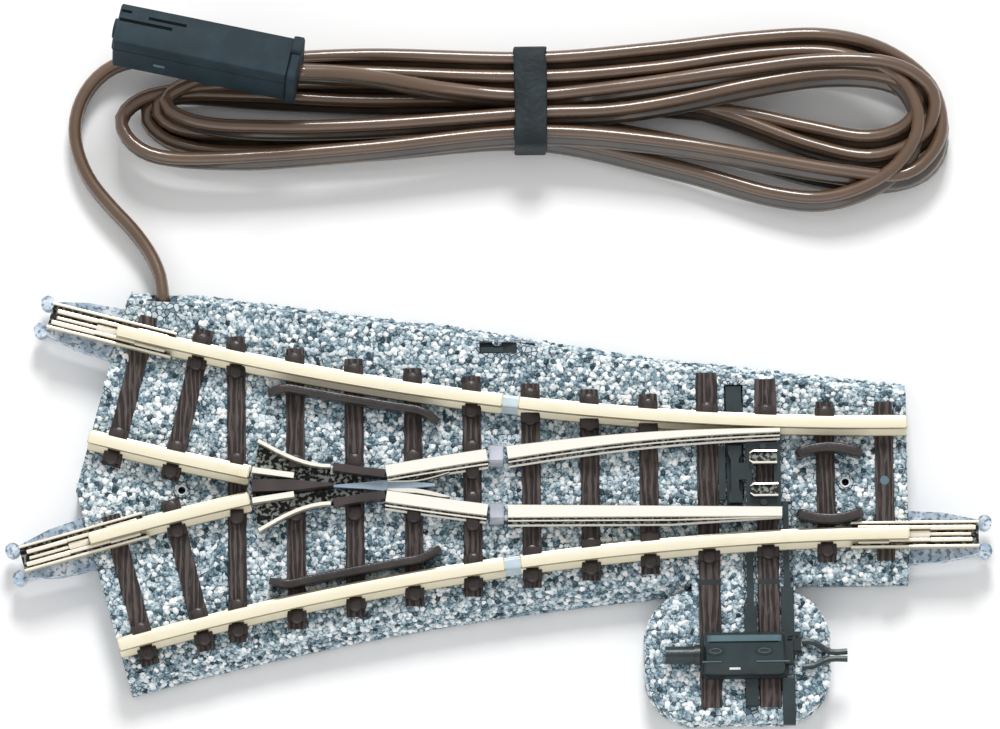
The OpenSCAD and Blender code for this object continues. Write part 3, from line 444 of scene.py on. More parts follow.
def lead_finish():
    """Twin lead: the upper core is glossy brown, and the lower one is greyer and darker, that darkness partly painted
    shade under the upper core. A painted shade line runs between the cores, and the lead has faint ribs.
    """
    f = Finish("lead_sheath", **{"Coat Weight": 1.0, "Coat Roughness": 0.1})
    around = f.mark("around")
    rib = f.mark("rib")
    # Painted shade: the groove between the two cores is mixed towards near black.
    upper, seam = around.step(-0.1, 0.12), 1 - around.math("ABSOLUTE", around).step(0.03, 0.3)
    drift, grit = f.noise(0.25, 3.0), f.noise(6.0, 3.0)
    # The lower core is greyer than the upper core and darker, and the darkness is partly painted shade under the upper
    # core.
    core = f.mix(upper, rgb(52, 45, 38), rgb(88, 64, 44))
    core = f.mix(drift.step(0.35, 0.75) * 0.4, core, rgb(108, 82, 58))
    f.feed(f.shader, {"Base Color": f.mix(seam * 0.85, core, rgb(20, 15, 12)), "Roughness": 0.3 + grit * 0.18})
    f.bump(rib * 0.6 + grit * 0.4, 0.02, 0.5)
    return f.material


stone = stone_finish()
bed = bed_finish()
wood = wood_finish("sleeper_wood", (82, 72, 69), (36, 31, 30), (108, 98, 94))
chair_plastic = moulded("chair_plastic", (70, 60, 57), (50, 43, 41), 0.3, 5.0, 0.05)
guard_plastic = moulded("guard_plastic", (60, 54, 53), (40, 36, 36), 0.3, 4.0, 0.05)
# In the rolled metals the first colour is a painted highlight on faces that look up, and the second is painted shade on
# the flanks.
rail_metal = metal("rail_nickel", (244, 236, 210), (184, 168, 122), 0.25, 0.34)
blade_metal = metal("blade_nickel", (254, 250, 240), (232, 222, 198), 0.3, 0.24)
joiner_metal = metal("joiner_nickel", (252, 246, 232), (222, 208, 172), 0.35, 0.24)
clip_metal = moulded("clip_plated", (200, 202, 214), (158, 166, 176), 0.24, 1.6, 0.03)
# Painted shade: below the shadow height the wing plates' floors are near black.
plate_metal = metal("wing_plate", (252, 248, 236), (214, 208, 190), 0.35, 0.28, shadow=sleeper_top + 0.9)
frog_plastic = moulded("frog_plastic", (68, 57, 56), (50, 42, 42), 0.38)
frog_grey = moulded("frog_floor_grey", (138, 158, 178), (158, 178, 194), 0.3)
insulator = moulded("insulator", (166, 188, 200), (206, 220, 226), 0.22, 2.4, 0.03)
mechanism = moulded("mechanism_green", (42, 57, 60), (30, 43, 46), 0.34, 7.0, 0.025)
# A paler copy of the mechanism green: the sleeper's teal dot and the plug's nub, and painted highlights on the
# machine's casing and grips.
pale_green_and_painted_highlight = moulded("pale_green_and_painted_highlight", (92, 118, 126), (78, 102, 110), 0.3, 7.0, 0.02)
machine_dark = moulded("machine_dark", (24, 32, 33), (34, 44, 46), 0.42, 5.0, 0.03)
white_paint_and_hole_light = moulded("white_paint_and_hole_light", (238, 242, 242), (216, 224, 226), 0.3, 5.0, 0.01)
cover_grey = moulded("cover_grey", (66, 70, 72), (52, 56, 58), 0.5)
bobbin_white = moulded("bobbin_white", (232, 230, 222), (216, 212, 202), 0.45)
slate = moulded("plug_slate", (42, 58, 66), (33, 47, 54), 0.62, 8.0, 0.03, Specular_IOR_Level=0.18)
# Near black, used as painted shade in the plug's slots and socket mouths.
recess_shade = moulded("plug_recess", (6, 9, 11), (12, 16, 18), 0.8, Specular_IOR_Level=0.1)
band_rubber = moulded("band_rubber", (36, 48, 52), (24, 33, 36), 0.6, 2.2, 0.16, Specular_IOR_Level=0.3)
brass = metal("contact_brass", (226, 196, 120), (186, 152, 84), 0.9, 0.3)
steel = metal("screw_steel", (206, 208, 210), (166, 168, 170), 0.9, 0.3)
copper = metal("coil_copper", (206, 132, 84), (160, 92, 52), 0.85, 0.35, (9.0, 0.4))
magnet_grey = metal("magnet_grey", (120, 122, 126), (92, 94, 98), 0.6, 0.4)
lead_sheath = lead_finish()


def both(*stems):
    """The north and the south node of each name."""
    return [stem + "_" + word for stem in stems for word, _ in SIDES]


FINISHES = {
    bed: ["roadbed", "machine_base"], cover_grey: ["bottom_cover"], steel: ["cover_screws", "heel_pins"],
    wood: ["sleepers", "machine_sleepers"], guard_plastic: ["check_rails"],
    insulator: both("gap_block"), rail_metal: both("stock_rail_toe", "stock_rail_heel", "leg_rail", "closure_rail"),
    frog_plastic: ["frog_nose", *both("wing_rail")], frog_grey: ["frog_floor"], plate_metal: both("wing_plate"),
    clip_metal: both("heel_clip"), joiner_metal: ["joiner_toe", *both("joiner_leg")], blade_metal: both("blade"),
    brass: [*both("blade_tab"), "coil_terminals", "jumper_strips", "plug_contacts"],
    bobbin_white: ["coil_bobbin", "drive_slider"], copper: ["coil_winding"], magnet_grey: ["drive_magnet", "pole_plates"],
    mechanism: ["lead_anchor", "arm_guide", "machine_body", "machine_motor", "throw_rod", "detector_rod",
                "machine_cables", "hand_lever", "tie_bar", "drive_arm"],
    band_rubber: ["tie_band"], slate: ["plug_housing", "plug_collar"], lead_sheath: ["lead_tube", "lead_hank"],
}
for finish, names in FINISHES.items():
    for name in names:
        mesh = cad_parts[name].data
        mesh.materials.clear()
        mesh.materials.append(finish)


def face(made, toward):
    """Turn a camera or a lamp to look along a direction, and add it to the scene."""
    made.rotation_mode = "QUATERNION"
    made.rotation_quaternion = Vector(toward).to_track_quat("-Z", "Y")
    bpy.context.scene.collection.objects.link(made)


# Camera: nearly overhead, from the south side, through a long lens
azimuth, elevation, distance = math.radians(-0.72), math.radians(79.5), 0.8
level = math.cos(elevation)
sight = np.array([math.sin(azimuth) * level, -math.cos(azimuth) * level, math.sin(elevation)])
aim = np.array([35.86, 11.78, 0]) * MM
camera = bpy.data.objects.new("camera", bpy.data.cameras.new("camera"))
camera.location = aim + sight * distance
face(camera, -sight)
bpy.context.scene.camera = camera
focal_ratio, sensor = 8.808, 36
camera.data.sensor_width = sensor
camera.data.lens = sensor * focal_ratio
camera.data.clip_start, camera.data.clip_end = 0.05, 5

# Lead. It leaves the roadbed, goes round the heel side of the hank, makes five turns and ends in the plug.
lead_route = [[5.4, 17.2, 1.75], [5.3, 18.6, 1.7], [5, 20.3, 1.5], [4.1, 22.3, 1.25], [2.6, 24.4, 1.25],
              [0.7, 26.5, 1.25], [-1.1, 28.8, 1.25], [-2.2, 31.2, 1.25], [-2.6, 33.6, 1.25], [-2.2, 35.9, 1.25],
              [-1.1, 37.9, 1.25], [0.6, 39.4, 1.3], [2.8, 40.1, 1.5], [5, 39.9, 1.8]]
# Each turn: out along the north side, round the far end, back along the south side, round the near end.
turns = [
    [[12, 39.5, 1.6], [24, 39.2, 1.6], [38.9, 39.0, 1.6], [52, 39.1, 1.6], [62, 39.3, 1.6], [70, 38.2, 1.5],
     [75.3, 35.2, 1.5], [76.3, 31.4, 1.5], [73.6, 28.4, 1.5], [67, 28.0, 1.5], [56, 30.8, 1.5], [38.9, 33.9, 1.5],
     [24, 33.0, 1.5], [13, 32.8, 1.6], [7.2, 33.4, 1.8], [4.9, 35.3, 2.2], [7.4, 37.4, 2.8]],
    [[13, 38.5, 3.4], [24, 37.9, 3.8], [38.9, 37.3, 3.85], [50, 37.9, 4.1], [60, 39.1, 4.2], [67, 39.0, 4.2],
     [72.4, 36.6, 4.2], [74.1, 32.4, 4.0], [71.9, 28.5, 3.4], [66.6, 26.2, 2.6], [61, 26.6, 2.0], [52, 29.3, 1.6],
     [38.9, 32.2, 1.5], [24, 31.4, 1.5], [12, 31.2, 1.5], [6.2, 32.4, 1.5], [3.9, 34.9, 1.6], [6.6, 36.6, 1.7]],
    [[14, 36.3, 1.7], [24, 35.7, 1.6], [38.9, 35.6, 1.6], [48, 35.3, 1.7], [57, 34.4, 1.8], [64, 32.8, 1.9],
     [69.5, 31.7, 2.2], [73.2, 32.7, 2.8], [73.9, 35.2, 3.5], [71, 36.9, 4.0], [65.5, 37.2, 4.2], [59, 36.3, 4.2],
     [52, 34.9, 4.0], [46, 34.1, 3.9], [38.9, 33.9, 3.9], [24, 33.0, 3.9], [14, 33.0, 3.8], [8.3, 33.8, 3.6],
     [5.7, 35.8, 3.3], [8.5, 37.6, 3.1]],
    [[14, 39.0, 3.6], [24, 39.5, 3.8], [38.9, 39.0, 3.85], [50, 39.7, 4.0], [59, 40.6, 4.1], [66, 40.8, 4.0],
     [71.5, 39.3, 3.4], [75.4, 35.9, 2.9], [76.1, 31.3, 2.8], [73, 28.1, 2.8], [66.5, 28.4, 3.4], [52, 31.0, 3.9],
     [38.9, 32.2, 3.85], [24, 30.9, 3.9], [12, 30.2, 3.8], [4.4, 30.9, 3.5], [1.7, 34.0, 3.2], [4.6, 36.6, 2.6]],
    [[13, 37.4, 1.8], [24, 37.4, 1.6], [38.9, 37.3, 1.55], [47, 36.7, 1.6], [56, 34.3, 1.7], [64, 31.2, 1.9],
     [70, 29.9, 2.2], [74.6, 31.6, 3.0], [75.4, 35.2, 4.0], [72, 37.8, 4.9], [65.5, 38.3, 5.0], [57, 37.4, 4.8],
     [48, 36.3, 4.3], [38.9, 35.6, 3.9], [31, 36.3, 4.5], [25, 37.1, 6.2], [21, 37.4, 7.4], [17.5, 37.35, 8.1]],
]
route = even(spline(np.array(lead_route + sum(turns, [])), 12), 0.9)


def lead_shape():
    """Two round cores one above the other, each of radius core_d / 2 about a point 0.96 of that above or below the
    path. The lead stands on edge where it is free, and leans by the roll in the hank, always with its lower core to
    the south. Also returns how far up the section every point lies, from -1 to 1."""
    r = core_d / 2
    angle = np.linspace(-60, 240, 11) * math.pi / 180
    top = np.stack([r * np.cos(angle), r * 0.96 + r * np.sin(angle)], -1)
    profile = np.vstack([top, -top])
    heading = unit(np.gradient(route, axis=0))[:, 0]
    count = np.arange(len(route))
    wound = np.clip((route[:, 0] - 6) / 8, 0, 1) * (count > len(route) * 0.06)
    last = np.clip((count - len(route) + 30) / 26, 0, 1)
    lean = wound * 0.5 * np.clip(heading * 1.6, -1, 1) * (1 - last)
    around = np.tile(np.sign(profile[:, 1]) * np.minimum(1, np.abs(profile[:, 1]) / r), len(route))
    return sweep(profile, route, roll=lean), around


lead_mesh, around = lead_shape()
rib = np.repeat(0.5 + 0.5 * np.sin(np.arange(len(route)) * 2.4), len(around) // len(route))
lead = piece("twin_lead", lead_mesh, lead_sheath, stands_for=("lead_tube", "lead_hank"), crease=180, slot="lead_brown",
             around=around, rib=rib)

# Ballast stones: where the bed's edges run, and what has to stay clear of them
drive_edge = np.array([[0.035, 0.6], [0.113, 1.77], [0.455, 3.05], [0.669, 2.02], [1, 0.15]])
machine_x = track_len - 15.6
machine_joint_y = -half_w + 0.05
machine_ids = (2, 3)
machine_from = machine_x - 4.1
stone_pitch, stone_size = 0.5, (0.24, 0.36)


def north_edge(x):
    """The drive side's edge: straight between the corners that stand out from the leg."""
    at = drive_edge[:, 0] * track_len
    return np.interp(x, at, arc_y(at, curve_radius) + half_w + drive_edge[:, 1])


def south_edge(x):
    """Half a roadbed outside the south leg, and straight beside the machine."""
    arc = -arc_y(np.minimum(x, track_len), curve_radius - half_w)
    return np.where(x > machine_from, machine_joint_y, arc)


def heel_edge(y):
    """The two leg ends: each is square to its leg."""
    return (np.abs(y) - leg_end_y) * math.tan(leg_angle)


frog_x = track_len - math.sqrt((inner_r - head_half) ** 2 - curve_radius**2)
sleeper_xs = [track_len - 2.07 - i * sleeper_pitch for i in range(12)]
sleeper_xs = [x for x in sleeper_xs if x > 8]
arm_x = track_len - 15.57
lever_low, lever_high = mm("hand_lever")
lever_x = lever_low[0] + 0.9, lever_high[0] + 1.65
nails = {"heel": 7, "toe": track_len - 5.6}
beyond = 99  # a bound that no stone reaches
# each window: its middle along the track, half its width, and where it begins and ends across the track
windows = [(arm_x, 1.05, -3.6, 9.3), (sum(lever_x) / 2, (lever_x[1] - lever_x[0]) / 2, lever_low[1] - 0.4,
                                      lever_high[1] + 0.4),
           (5.5, 1.35, 15.8, beyond), (machine_x + 1.25, 0.72, -beyond, -6.1), (machine_x + 4.56, 0.72, -beyond, -1.5),
           (track_len - 13.2, 2.1, -2.6, 3.9)]
windows += [(sleeper_xs[i], 1.1, machine_joint_y - 0.6, machine_joint_y + 0.6) for i in machine_ids]


def clear_of_openings(x, y):
    """True where a stone may stand: not over a nail hole, slot, groove, window or the lead's notch."""
    keep = np.ones(len(x), bool)
    for nail in nails.values():
        keep &= np.hypot(x - nail, y) > 0.85
    for middle, half, y0, y1 in windows:
        keep &= ~((np.abs(x - middle) < half) & (y > y0) & (y < y1))
    return keep


def stones(name, at, normal, size):
    """Pebbles: each is a twelve-cornered solid with its own corners moved, turned about the surface's normal, flattened
    along it and half sunk, so a corner is centre + s (a u + b v + 0.62 c n)."""
    rng = np.random.default_rng(len(at))
    g = (1 + math.sqrt(5)) / 2
    corner = unit(np.array([[-1, g, 0], [1, g, 0], [-1, -g, 0], [1, -g, 0], [0, -1, g], [0, 1, g], [0, -1, -g],
                            [0, 1, -g], [g, 0, -1], [g, 0, 1], [-g, 0, -1], [-g, 0, 1]], float))
    facets = np.array([[0, 11, 5], [0, 5, 1], [0, 1, 7], [0, 7, 10], [0, 10, 11], [1, 5, 9], [5, 11, 4], [11, 10, 2],
                       [10, 7, 6], [7, 1, 8], [3, 9, 4], [3, 4, 2], [3, 2, 6], [3, 6, 8], [3, 8, 9], [4, 9, 5],
                       [2, 4, 11], [6, 2, 10], [8, 6, 7], [9, 8, 1]])
    n = len(at)
    turn = rng.uniform(0, 2 * math.pi, n)
    helper = np.where(np.abs(normal[:, :1]) < 0.9, [[1.0, 0, 0]], [[0, 1.0, 0]])
    u0 = unit(np.cross(normal, helper))
    v0 = np.cross(normal, u0)
    u = np.cos(turn)[:, None] * u0 + np.sin(turn)[:, None] * v0
    v = np.cross(normal, u)
    wide = size[:, None] * rng.uniform(0.8, 1.22, (n, 2))
    p = corner[None] * rng.uniform(0.82, 1.12, (n, 12, 1))
    points = (at[:, None] + p[..., :1] * (wide[:, :1] * u)[:, None] + p[..., 1:2] * (wide[:, 1:] * v)[:, None]
              + p[..., 2:] * (0.62 * size[:, None] * normal)[:, None])
    faces = (facets[None] + 12 * np.arange(n)[:, None, None]).reshape(-1, 3)
    tone = np.repeat(np.clip(rng.normal(0.58, 0.27, n), 0, 1), 12)
    piece(name, (points.reshape(-1, 3), faces.tolist()), stone, crease=0, slot="ballast", outward=False, tone=tone)


def scatter(x0, x1, y0, y1, pitch, seed):
    """Points of a triangular grid, each moved a little at random."""
    rng = np.random.default_rng(seed)
    rows, columns = int((y1 - y0) / (pitch * 0.87)) + 1, int((x1 - x0) / pitch) + 1
    j, i = np.meshgrid(np.arange(rows), np.arange(columns), indexing="ij")
    x = x0 + (i + 0.5 * (j % 2)) * pitch + rng.uniform(-0.3, 0.3, i.shape) * pitch
    y = y0 + j * pitch * 0.87 + rng.uniform(-0.3, 0.3, i.shape) * pitch
    return x.ravel(), y.ravel()


def roadbed_stones():
    """Stones on the flat top, and on both shoulders, where z falls from the ballast's top to the skirt."""
    rng = np.random.default_rng(3)
    x, y = scatter(-3, track_len, -19, 20, stone_pitch, 1)
    flat = (y < north_edge(x) - shoulder_run) & (y > south_edge(x) + np.where(x > machine_from, 0.1, shoulder_run))
    flat &= (x > heel_edge(y) + 0.2) & (x < track_len - 0.2) & clear_of_openings(x, y)
    at = [raised(np.stack([x, y], -1)[flat], ballast_h)]
    normal = [np.tile([0, 0, 1.0], (flat.sum(), 1))]
    fall = ballast_h - skirt_h
    slope = math.hypot(shoulder_run, fall)
    for side, edge in ((1, north_edge), (-1, south_edge)):
        x, down = scatter(0, track_len - 0.2, 0, slope, stone_pitch, 5 + side)
        y = edge(x) - side * shoulder_run * (1 - down / slope)
        keep = (x > heel_edge(y) + 0.2) & clear_of_openings(x, y)
        if side < 0:
            keep &= (x < machine_x - 4.6) | (x > machine_x + 5.6)
        at.append(np.stack([x, y, ballast_h - down / slope * fall], -1)[keep])
        normal.append(np.tile(unit(np.array([0, side * fall, shoulder_run])), (keep.sum(), 1)))
    at, normal = np.vstack(at), np.vstack(normal)
    at += normal * rng.uniform(-0.08, 0.06, (len(at), 1))
    stones("roadbed_stones", at, normal, rng.uniform(*stone_size, len(at)))


def machine_stones():
    """Stones on the machine's rounded base and its neck, and on its upright rim."""
    half, corner = np.array([8.2, 5.85]), 4.4
    middle = np.array([machine_x, machine_joint_y - 0.85 - 5.85])
    rng = np.random.default_rng(4)
    x, y = scatter(machine_x - 8.3, machine_x + 8.3, middle[1] - 6, machine_joint_y, stone_pitch, 9)
    q = np.abs(np.stack([x, y], -1) - middle) - half + corner
    inside = np.hypot(*np.maximum(q, 0).T) < corner - 0.15
    neck = (x > machine_x - 3.9) & (x < machine_x + 5.2) & (y > middle[1])
    keep = (inside | neck) & clear_of_openings(x, y)
    at = [raised(np.stack([x, y], -1)[keep], ballast_h)]
    normal = [np.tile([0, 0, 1.0], (keep.sum(), 1))]
    flat, arc = 2 * (half - corner), corner * math.pi / 2
    knots = np.cumsum([0, flat[1], arc, flat[0], arc, flat[1], arc, flat[0], arc])
    s, z = scatter(0, knots[-1], 0.35, ballast_h - 0.1, stone_pitch, 11)
    centre = np.stack([np.interp(s, knots, flat[0] / 2 * np.array([1, 1, 1, -1, -1, -1, -1, 1, 1])),
                       np.interp(s, knots, flat[1] / 2 * np.array([-1, 1, 1, 1, 1, -1, -1, -1, -1]))], -1)
    t = np.interp(s, knots, math.pi / 2 * np.array([0, 0, 1, 1, 2, 2, 3, 3, 4]))
    face = np.stack([np.cos(t), np.sin(t)], -1)
    rim = middle + centre + corner * face
    keep = (rim[:, 1] < machine_joint_y - 0.4)
    at.append(np.column_stack([rim, z])[keep])
    normal.append(np.column_stack([face, np.full(len(s), 0.25)])[keep])
    at, normal = np.vstack(at), unit(np.vstack(normal))
    stones("machine_stones", at, normal, rng.uniform(*stone_size, len(at)))


roadbed_stones()
machine_stones()


# Sleepers with their chairs
def sleeper_bar(a, b, seed, width=sleeper_w):
    """Timber from a to b: a rounded section whose width and height waver a little from ring to ring."""
    rng = np.random.default_rng(seed)
    a, b = np.asarray(a, float), np.asarray(b, float)
    n = max(4, int(np.linalg.norm(b - a) / 0.7))
    path = raised(np.stack([np.linspace(a[0], b[0], n), np.linspace(a[1], b[1], n)], -1), sleeper_top - sleeper_h)
    section = rounded(width, sleeper_h, 0.12, 3)
    rings = section[None] * (1 + rng.uniform(-0.05, 0.04, (n, 1, 1)) * [[[1, 0.5]]])
    rings[[0, -1]] *= [[[0.94, 0.97]]]
    return sweep(rings, path)


def facing(plan, out):
    """Plan points turned so that their own X axis points out."""
    heading = math.atan2(out[1], out[0])
    c, s = math.cos(heading), math.sin(heading)
    return plan @ np.array([[c, s], [-s, c]])


def chair(x, y, out, r=0.58, tall=1.0):
    """Half-round boss beside a rail. Its round side points out and its top is domed: every level is the outline drawn
    in to a share of its size, at its own height."""
    t = np.linspace(-math.pi / 2, math.pi / 2, 11)
    outline = facing(np.vstack([[[-0.75, -r]], np.stack([r * np.cos(t), r * np.sin(t)], -1), [[-0.75, r]]]), out)
    levels = [(1.0, -0.1), (1.0, 0.45), (0.94, 0.58), (0.8, 0.66), (0.5, 0.72)]
    return stacked([(outline * share + [x, y], sleeper_top + h * tall) for share, h in levels])


def block(x, y, out, wide=1.75):
    """Pad that holds a rail's foot down across the sleeper's width, with a bevelled top."""
    corners = np.array([[-1, -1], [1, -1], [1, 1], [-1, 1]]) * [0.475, wide / 2]
    return prism(facing(corners, out) + [x, y], sleeper_top - 0.5, sleeper_top + 0.42, 0.1)


frog_reach = 16, 29  # where the frog leaves no room for chairs inside the stock rails
low_chair = 0.56  # under the blades, which pass over these chairs
leg_turns = [leg_angle - s / curve_radius for s in (2.4, 7.75)]
timbers, bosses = [], []
for i, x in enumerate(sleeper_xs):
    wide = sleeper_w + (0.25 if i in machine_ids else 0)
    rail = arc_y(x, outer_r)
    north = north_edge(x) - shoulder_run - 0.1 if i in machine_ids else rail + 2.2
    south = machine_joint_y + 0.2 if i in machine_ids else -rail - 2.2
    timbers.append(sleeper_bar((x, south), (x, north), i, wide))
    for side in (NORTH, SOUTH):
        y = side * rail
        if i > 0:
            bosses.append(chair(x, y + side * 1.2, (0, side)))
            bosses.append(block(x, y + side * 1.05, (0, side), wide + 0.05))
        if i > 1 and i not in machine_ids and not frog_reach[0] < x < frog_reach[1]:
            tall = low_chair if pivot_x < x < track_len - 8 else 1
            bosses.append(chair(x, y - side * 1.15, (0, -side), tall=tall))
            bosses.append(block(x, y - side * 1.0, (0, -side), wide + 0.05))
        if x < pivot_x:
            inner = abs(arc_y(x, inner_r))
            bosses.append(chair(x, side * max(inner + 1.25, 2.5), (0, side), 0.62))
            if inner > 1.8:
                bosses.append(chair(x, side * (inner - 1.25), (0, -side), 0.6))
for side in (NORTH, SOUTH):
    for k, turn in enumerate(leg_turns):
        out = np.array([math.sin(turn), side * math.cos(turn)])
        centre = np.array([track_len, side * curve_radius])
        ends = [centre - out * r for r in (outer_r + rail_y + 6.9, outer_r - 2.2)]
        timbers.append(sleeper_bar(ends[0], ends[1], 20 + 2 * k + side))
        for r in (outer_r, inner_r):
            if k == 0 and r == (outer_r if side == NORTH else inner_r):
                continue
            for s in (-1, 1):
                p = centre - out * (r + s * 1.2)
                bosses.append(chair(*p, -s * out))
                bosses.append(block(*(p + s * 0.1 * out), -s * out))
piece("timber_sleepers", merged(timbers), wood, stands_for=("sleepers",), slot="sleeper_brown")
piece("rail_bosses", merged(bosses), chair_plastic, slot="sleeper_brown", crease=50)
low, high = mm("machine_sleepers")
long_timbers = [sleeper_bar((sleeper_xs[i], low[1]), (sleeper_xs[i], machine_joint_y - 0.2), 40 + i,
                            sleeper_w + 0.3) for i in machine_ids]
piece("machine_timbers", merged(long_timbers), wood, stands_for=("machine_sleepers",), slot="sleeper_brown")
circle = wheel(24)
piece("sleeper_dot", prism([sleeper_xs[0], 0.05] + 0.42 * circle, sleeper_top - 0.1, sleeper_top + 0.05, 0.03),
      pale_green_and_painted_highlight, slot="mechanism_green")
# Nail holes: a dark ring round each hole's edge is painted shade, and a white ring inside the hole is painted light
# that stands in for the lit floor seen through it.
for word, x in nails.items():
    for name, r, z, thick, tall, finish in (("nail_rim_shade_", 0.66, 0.05, 0.09, 1.6, machine_dark),
                                            ("nail_hole_light_", 0.46, -0.12, 0.14, 1.2, white_paint_and_hole_light)):
        section = thick * (wheel(8) * [1, tall])
        piece(name + word, hoop(r * circle, [x, 0], ballast_h + z, section), finish, slot="ballast")
# Painted shade: a near-black slab fills the gap at the joint of roadbed and machine base under each machine sleeper.
gaps = [slab(sleeper_xs[i] - 1.0, machine_joint_y - 0.24, sleeper_xs[i] + 1.0, machine_joint_y + 0.24, ballast_h - 0.1,
             sleeper_top - 0.02) for i in machine_ids]
piece("sleeper_gap_shade", merged(gaps), machine_dark, slot="sleeper_brown")

# Rails: a foot, a waisted web and a head with rounded edges
half_section = np.array([[0.95, 0], [0.95, 0.2], [0.9, 0.27], [0.5, 0.38], [0.3, 0.52], [0.25, 0.75], [0.25, 1.1],
                         [0.3, 1.26], [0.48, 1.36], [0.55, 1.44], [0.55, 1.8], [0.52, 1.91], [0.44, 1.975], [0.3, 2.0]])
rail_section = np.vstack([half_section, half_section[::-1] * [-1, 1]])
# Painted shade: the web's points are marked dark, so the metal paints a near-black line where the web lies in shade
# under the head.
web_painted_shade = np.array([0] * 4 + [1] * 4 + [0] * 12 + [1] * 4 + [0] * 4)
gap_turns = [turn_at(gap_x + s * gap_len / 2, outer_r) for s in (1, -1)]
leg_rail_x = frog_x - 8.9
closure_x = frog_x + 3.4


def rail_shape(line):
    """The rail's section along a line, drawn in a little at both ends, where the cut edges are rounded."""
    line = np.vstack([line[:1], line[:1] + 0.12 * unit(line[1:2] - line[:1]), line[1:-1],
                      line[-1:] - 0.12 * unit(line[-1:] - line[-2:-1]), line[-1:]])
    rings = np.repeat(rail_section[None], len(line), axis=0)
    rings[[0, -1]] *= [[[0.86, 0.95]]]
    return sweep(rings, line)


for word, side in SIDES:
    for name, r, a, b in (
        ("stock_rail_toe_", outer_r, 0, gap_turns[0]), ("stock_rail_heel_", outer_r, gap_turns[1], leg_angle),
        ("leg_rail_", inner_r, turn_at(leg_rail_x, inner_r), leg_angle)):
        line = leg_line(r, a, b, side, max(6, int(r * (b - a) / 1.2)))
        piece("rolled_" + name + word, rail_shape(line), rail_metal, stands_for=(name + word,), slot="rail_nickel",
              dark=np.tile(web_painted_shade, len(line) + 2))
    line = leg_line(outer_r, gap_turns[0], gap_turns[1], side, 5)
    piece("gap_insert_" + word, sweep(rail_section * [0.9, 0.93], line), insulator, stands_for=("gap_block_" + word,),
          slot="insulator")


def folded_bar(line, head, lip, foot, z_scale=1.0, back=None):
    """Bar folded from sheet: a wide running head, and below it on the south side a thin lip and a foot, each standing
    out past the one above, with painted shade in the folds between, marked dark for the finish. head, lip and foot are
    reaches to the south for every ring, and back is the reach to the north, as far as the head's unless it is given."""
    n = len(line)
    back = head if back is None else back
    one = np.ones(n)
    rows = [(foot, 0, 0), (foot, 0.2, 0), (foot - 0.16, 0.22, 0), (foot - 0.18, 0.23, 1), (head * 0.6, 0.26, 1),
            (head * 0.6, 0.6, 1), (lip - 0.14, 0.62, 1), (lip - 0.12, 0.66, 0), (lip, 0.68, 0), (lip, 0.86, 0),
            (lip - 0.1, 0.9, 0), (lip - 0.12, 0.91, 1), (head * 0.7, 0.94, 1), (head * 0.7, 1.14, 1),
            (head - 0.02, 1.16, 1), (head, 1.2, 0), (head, 1.47, 0), (head - 0.05, 1.55, 0),
            (-back + 0.05, 1.55, 0), (-back, 1.47, 0),
            (-back, 1.2, 0), (-back * 0.8, 1.1, 1), (-back * 0.8, 0, 1)]
    rings = np.stack([np.stack([reach * one, z * z_scale * one], -1) for reach, z, _ in rows], 1)
    # Painted shade: rows marked 1 are the folds, which the metal paints near black.
    dark = np.tile([mark for _, _, mark in rows], n)
    return sweep(rings, line), dark


# Closure rails, from the frog to the clips at the blades' heels
for word, side in SIDES:
    line = leg_line(inner_r, turn_at(closure_x, inner_r), turn_at(pivot_x - 0.85, inner_r), -side, 12)
    shape, dark = folded_bar(line, 0.55, 0.76, 1.0, 2 / 1.55)
    piece("folded_closure_rail_" + word, shape, blade_metal, stands_for=("closure_rail_" + word,), slot="blade_nickel",
          crease=25, dark=dark)

# Point blades: bars that taper to a thin tip, at rest with the north one closed. The north one is bowed a little.
blade_turns = {"north": 4.098, "south": -1.354}
blade_z = 4.05
for word, body, side in (("north", "blade_n", NORTH), ("south", "blade_s", SOUTH)):
    angle = math.radians(blade_turns[word])
    run = np.linspace(1.0, 25.65, 26)
    share = (run - run[0]) / (run[-1] - run[0])
    bow = 0.42 * np.sin(math.pi * share) if side == NORTH else 0
    line = raised(np.stack([pivot_x + run * math.cos(angle), side * pivot_y + run * math.sin(angle) + bow], -1),
                  blade_z)
    head = 0.6 - 0.4 * share
    if side == NORTH:
        lip, foot, back = head + 0.24, head + 0.6 - 0.1 * share, head
    else:
        thinned = 1 - np.clip((share - 0.6) / 0.4, 0, 1)
        lip, foot, back = head + 0.24 * thinned, head + 0.6 * thinned, head + 0.5 * share
    shape, dark = folded_bar(line, head, lip, foot, back=back)
    piece("point_blade_" + word, shape, blade_metal, body=body, stands_for=("blade_" + word,), slot="blade_nickel",
          crease=25, dark=dark)

# Pressed tabs that tie the blades to the bar: a shallow channel whose bright rims carry the metal's painted highlight,
# over a floor and inner walls painted in shade, near black
for word, body, x, y in (("north", "blade_n", 59.45, 2.15), ("south", "blade_s", 59.5, -0.85)):
    rows = [(-0.6, 4.5, 0), (-0.6, 4.95, 0), (-0.46, 5.0, 0), (-0.44, 4.99, 1), (-0.4, 4.75, 1), (0.4, 4.75, 1),
            (0.44, 4.99, 1), (0.46, 5.0, 0), (0.6, 4.95, 0), (0.6, 4.5, 0)]
    along = np.linspace(x - 1.25, x + 1.25, 9)
    rings = np.repeat(np.array([[p, z] for p, z, _ in rows])[None], 9, axis=0)
    rings[0, :, 0] *= 0.6
    shape = sweep(rings, np.column_stack([along, np.full(9, y), np.zeros(9)]))
    piece("tie_tab_" + word, shape, blade_metal, body=body, stands_for=("blade_tab_" + word,), slot="blade_nickel",
          crease=25, dark=np.tile([mark for _, _, mark in rows], 9))

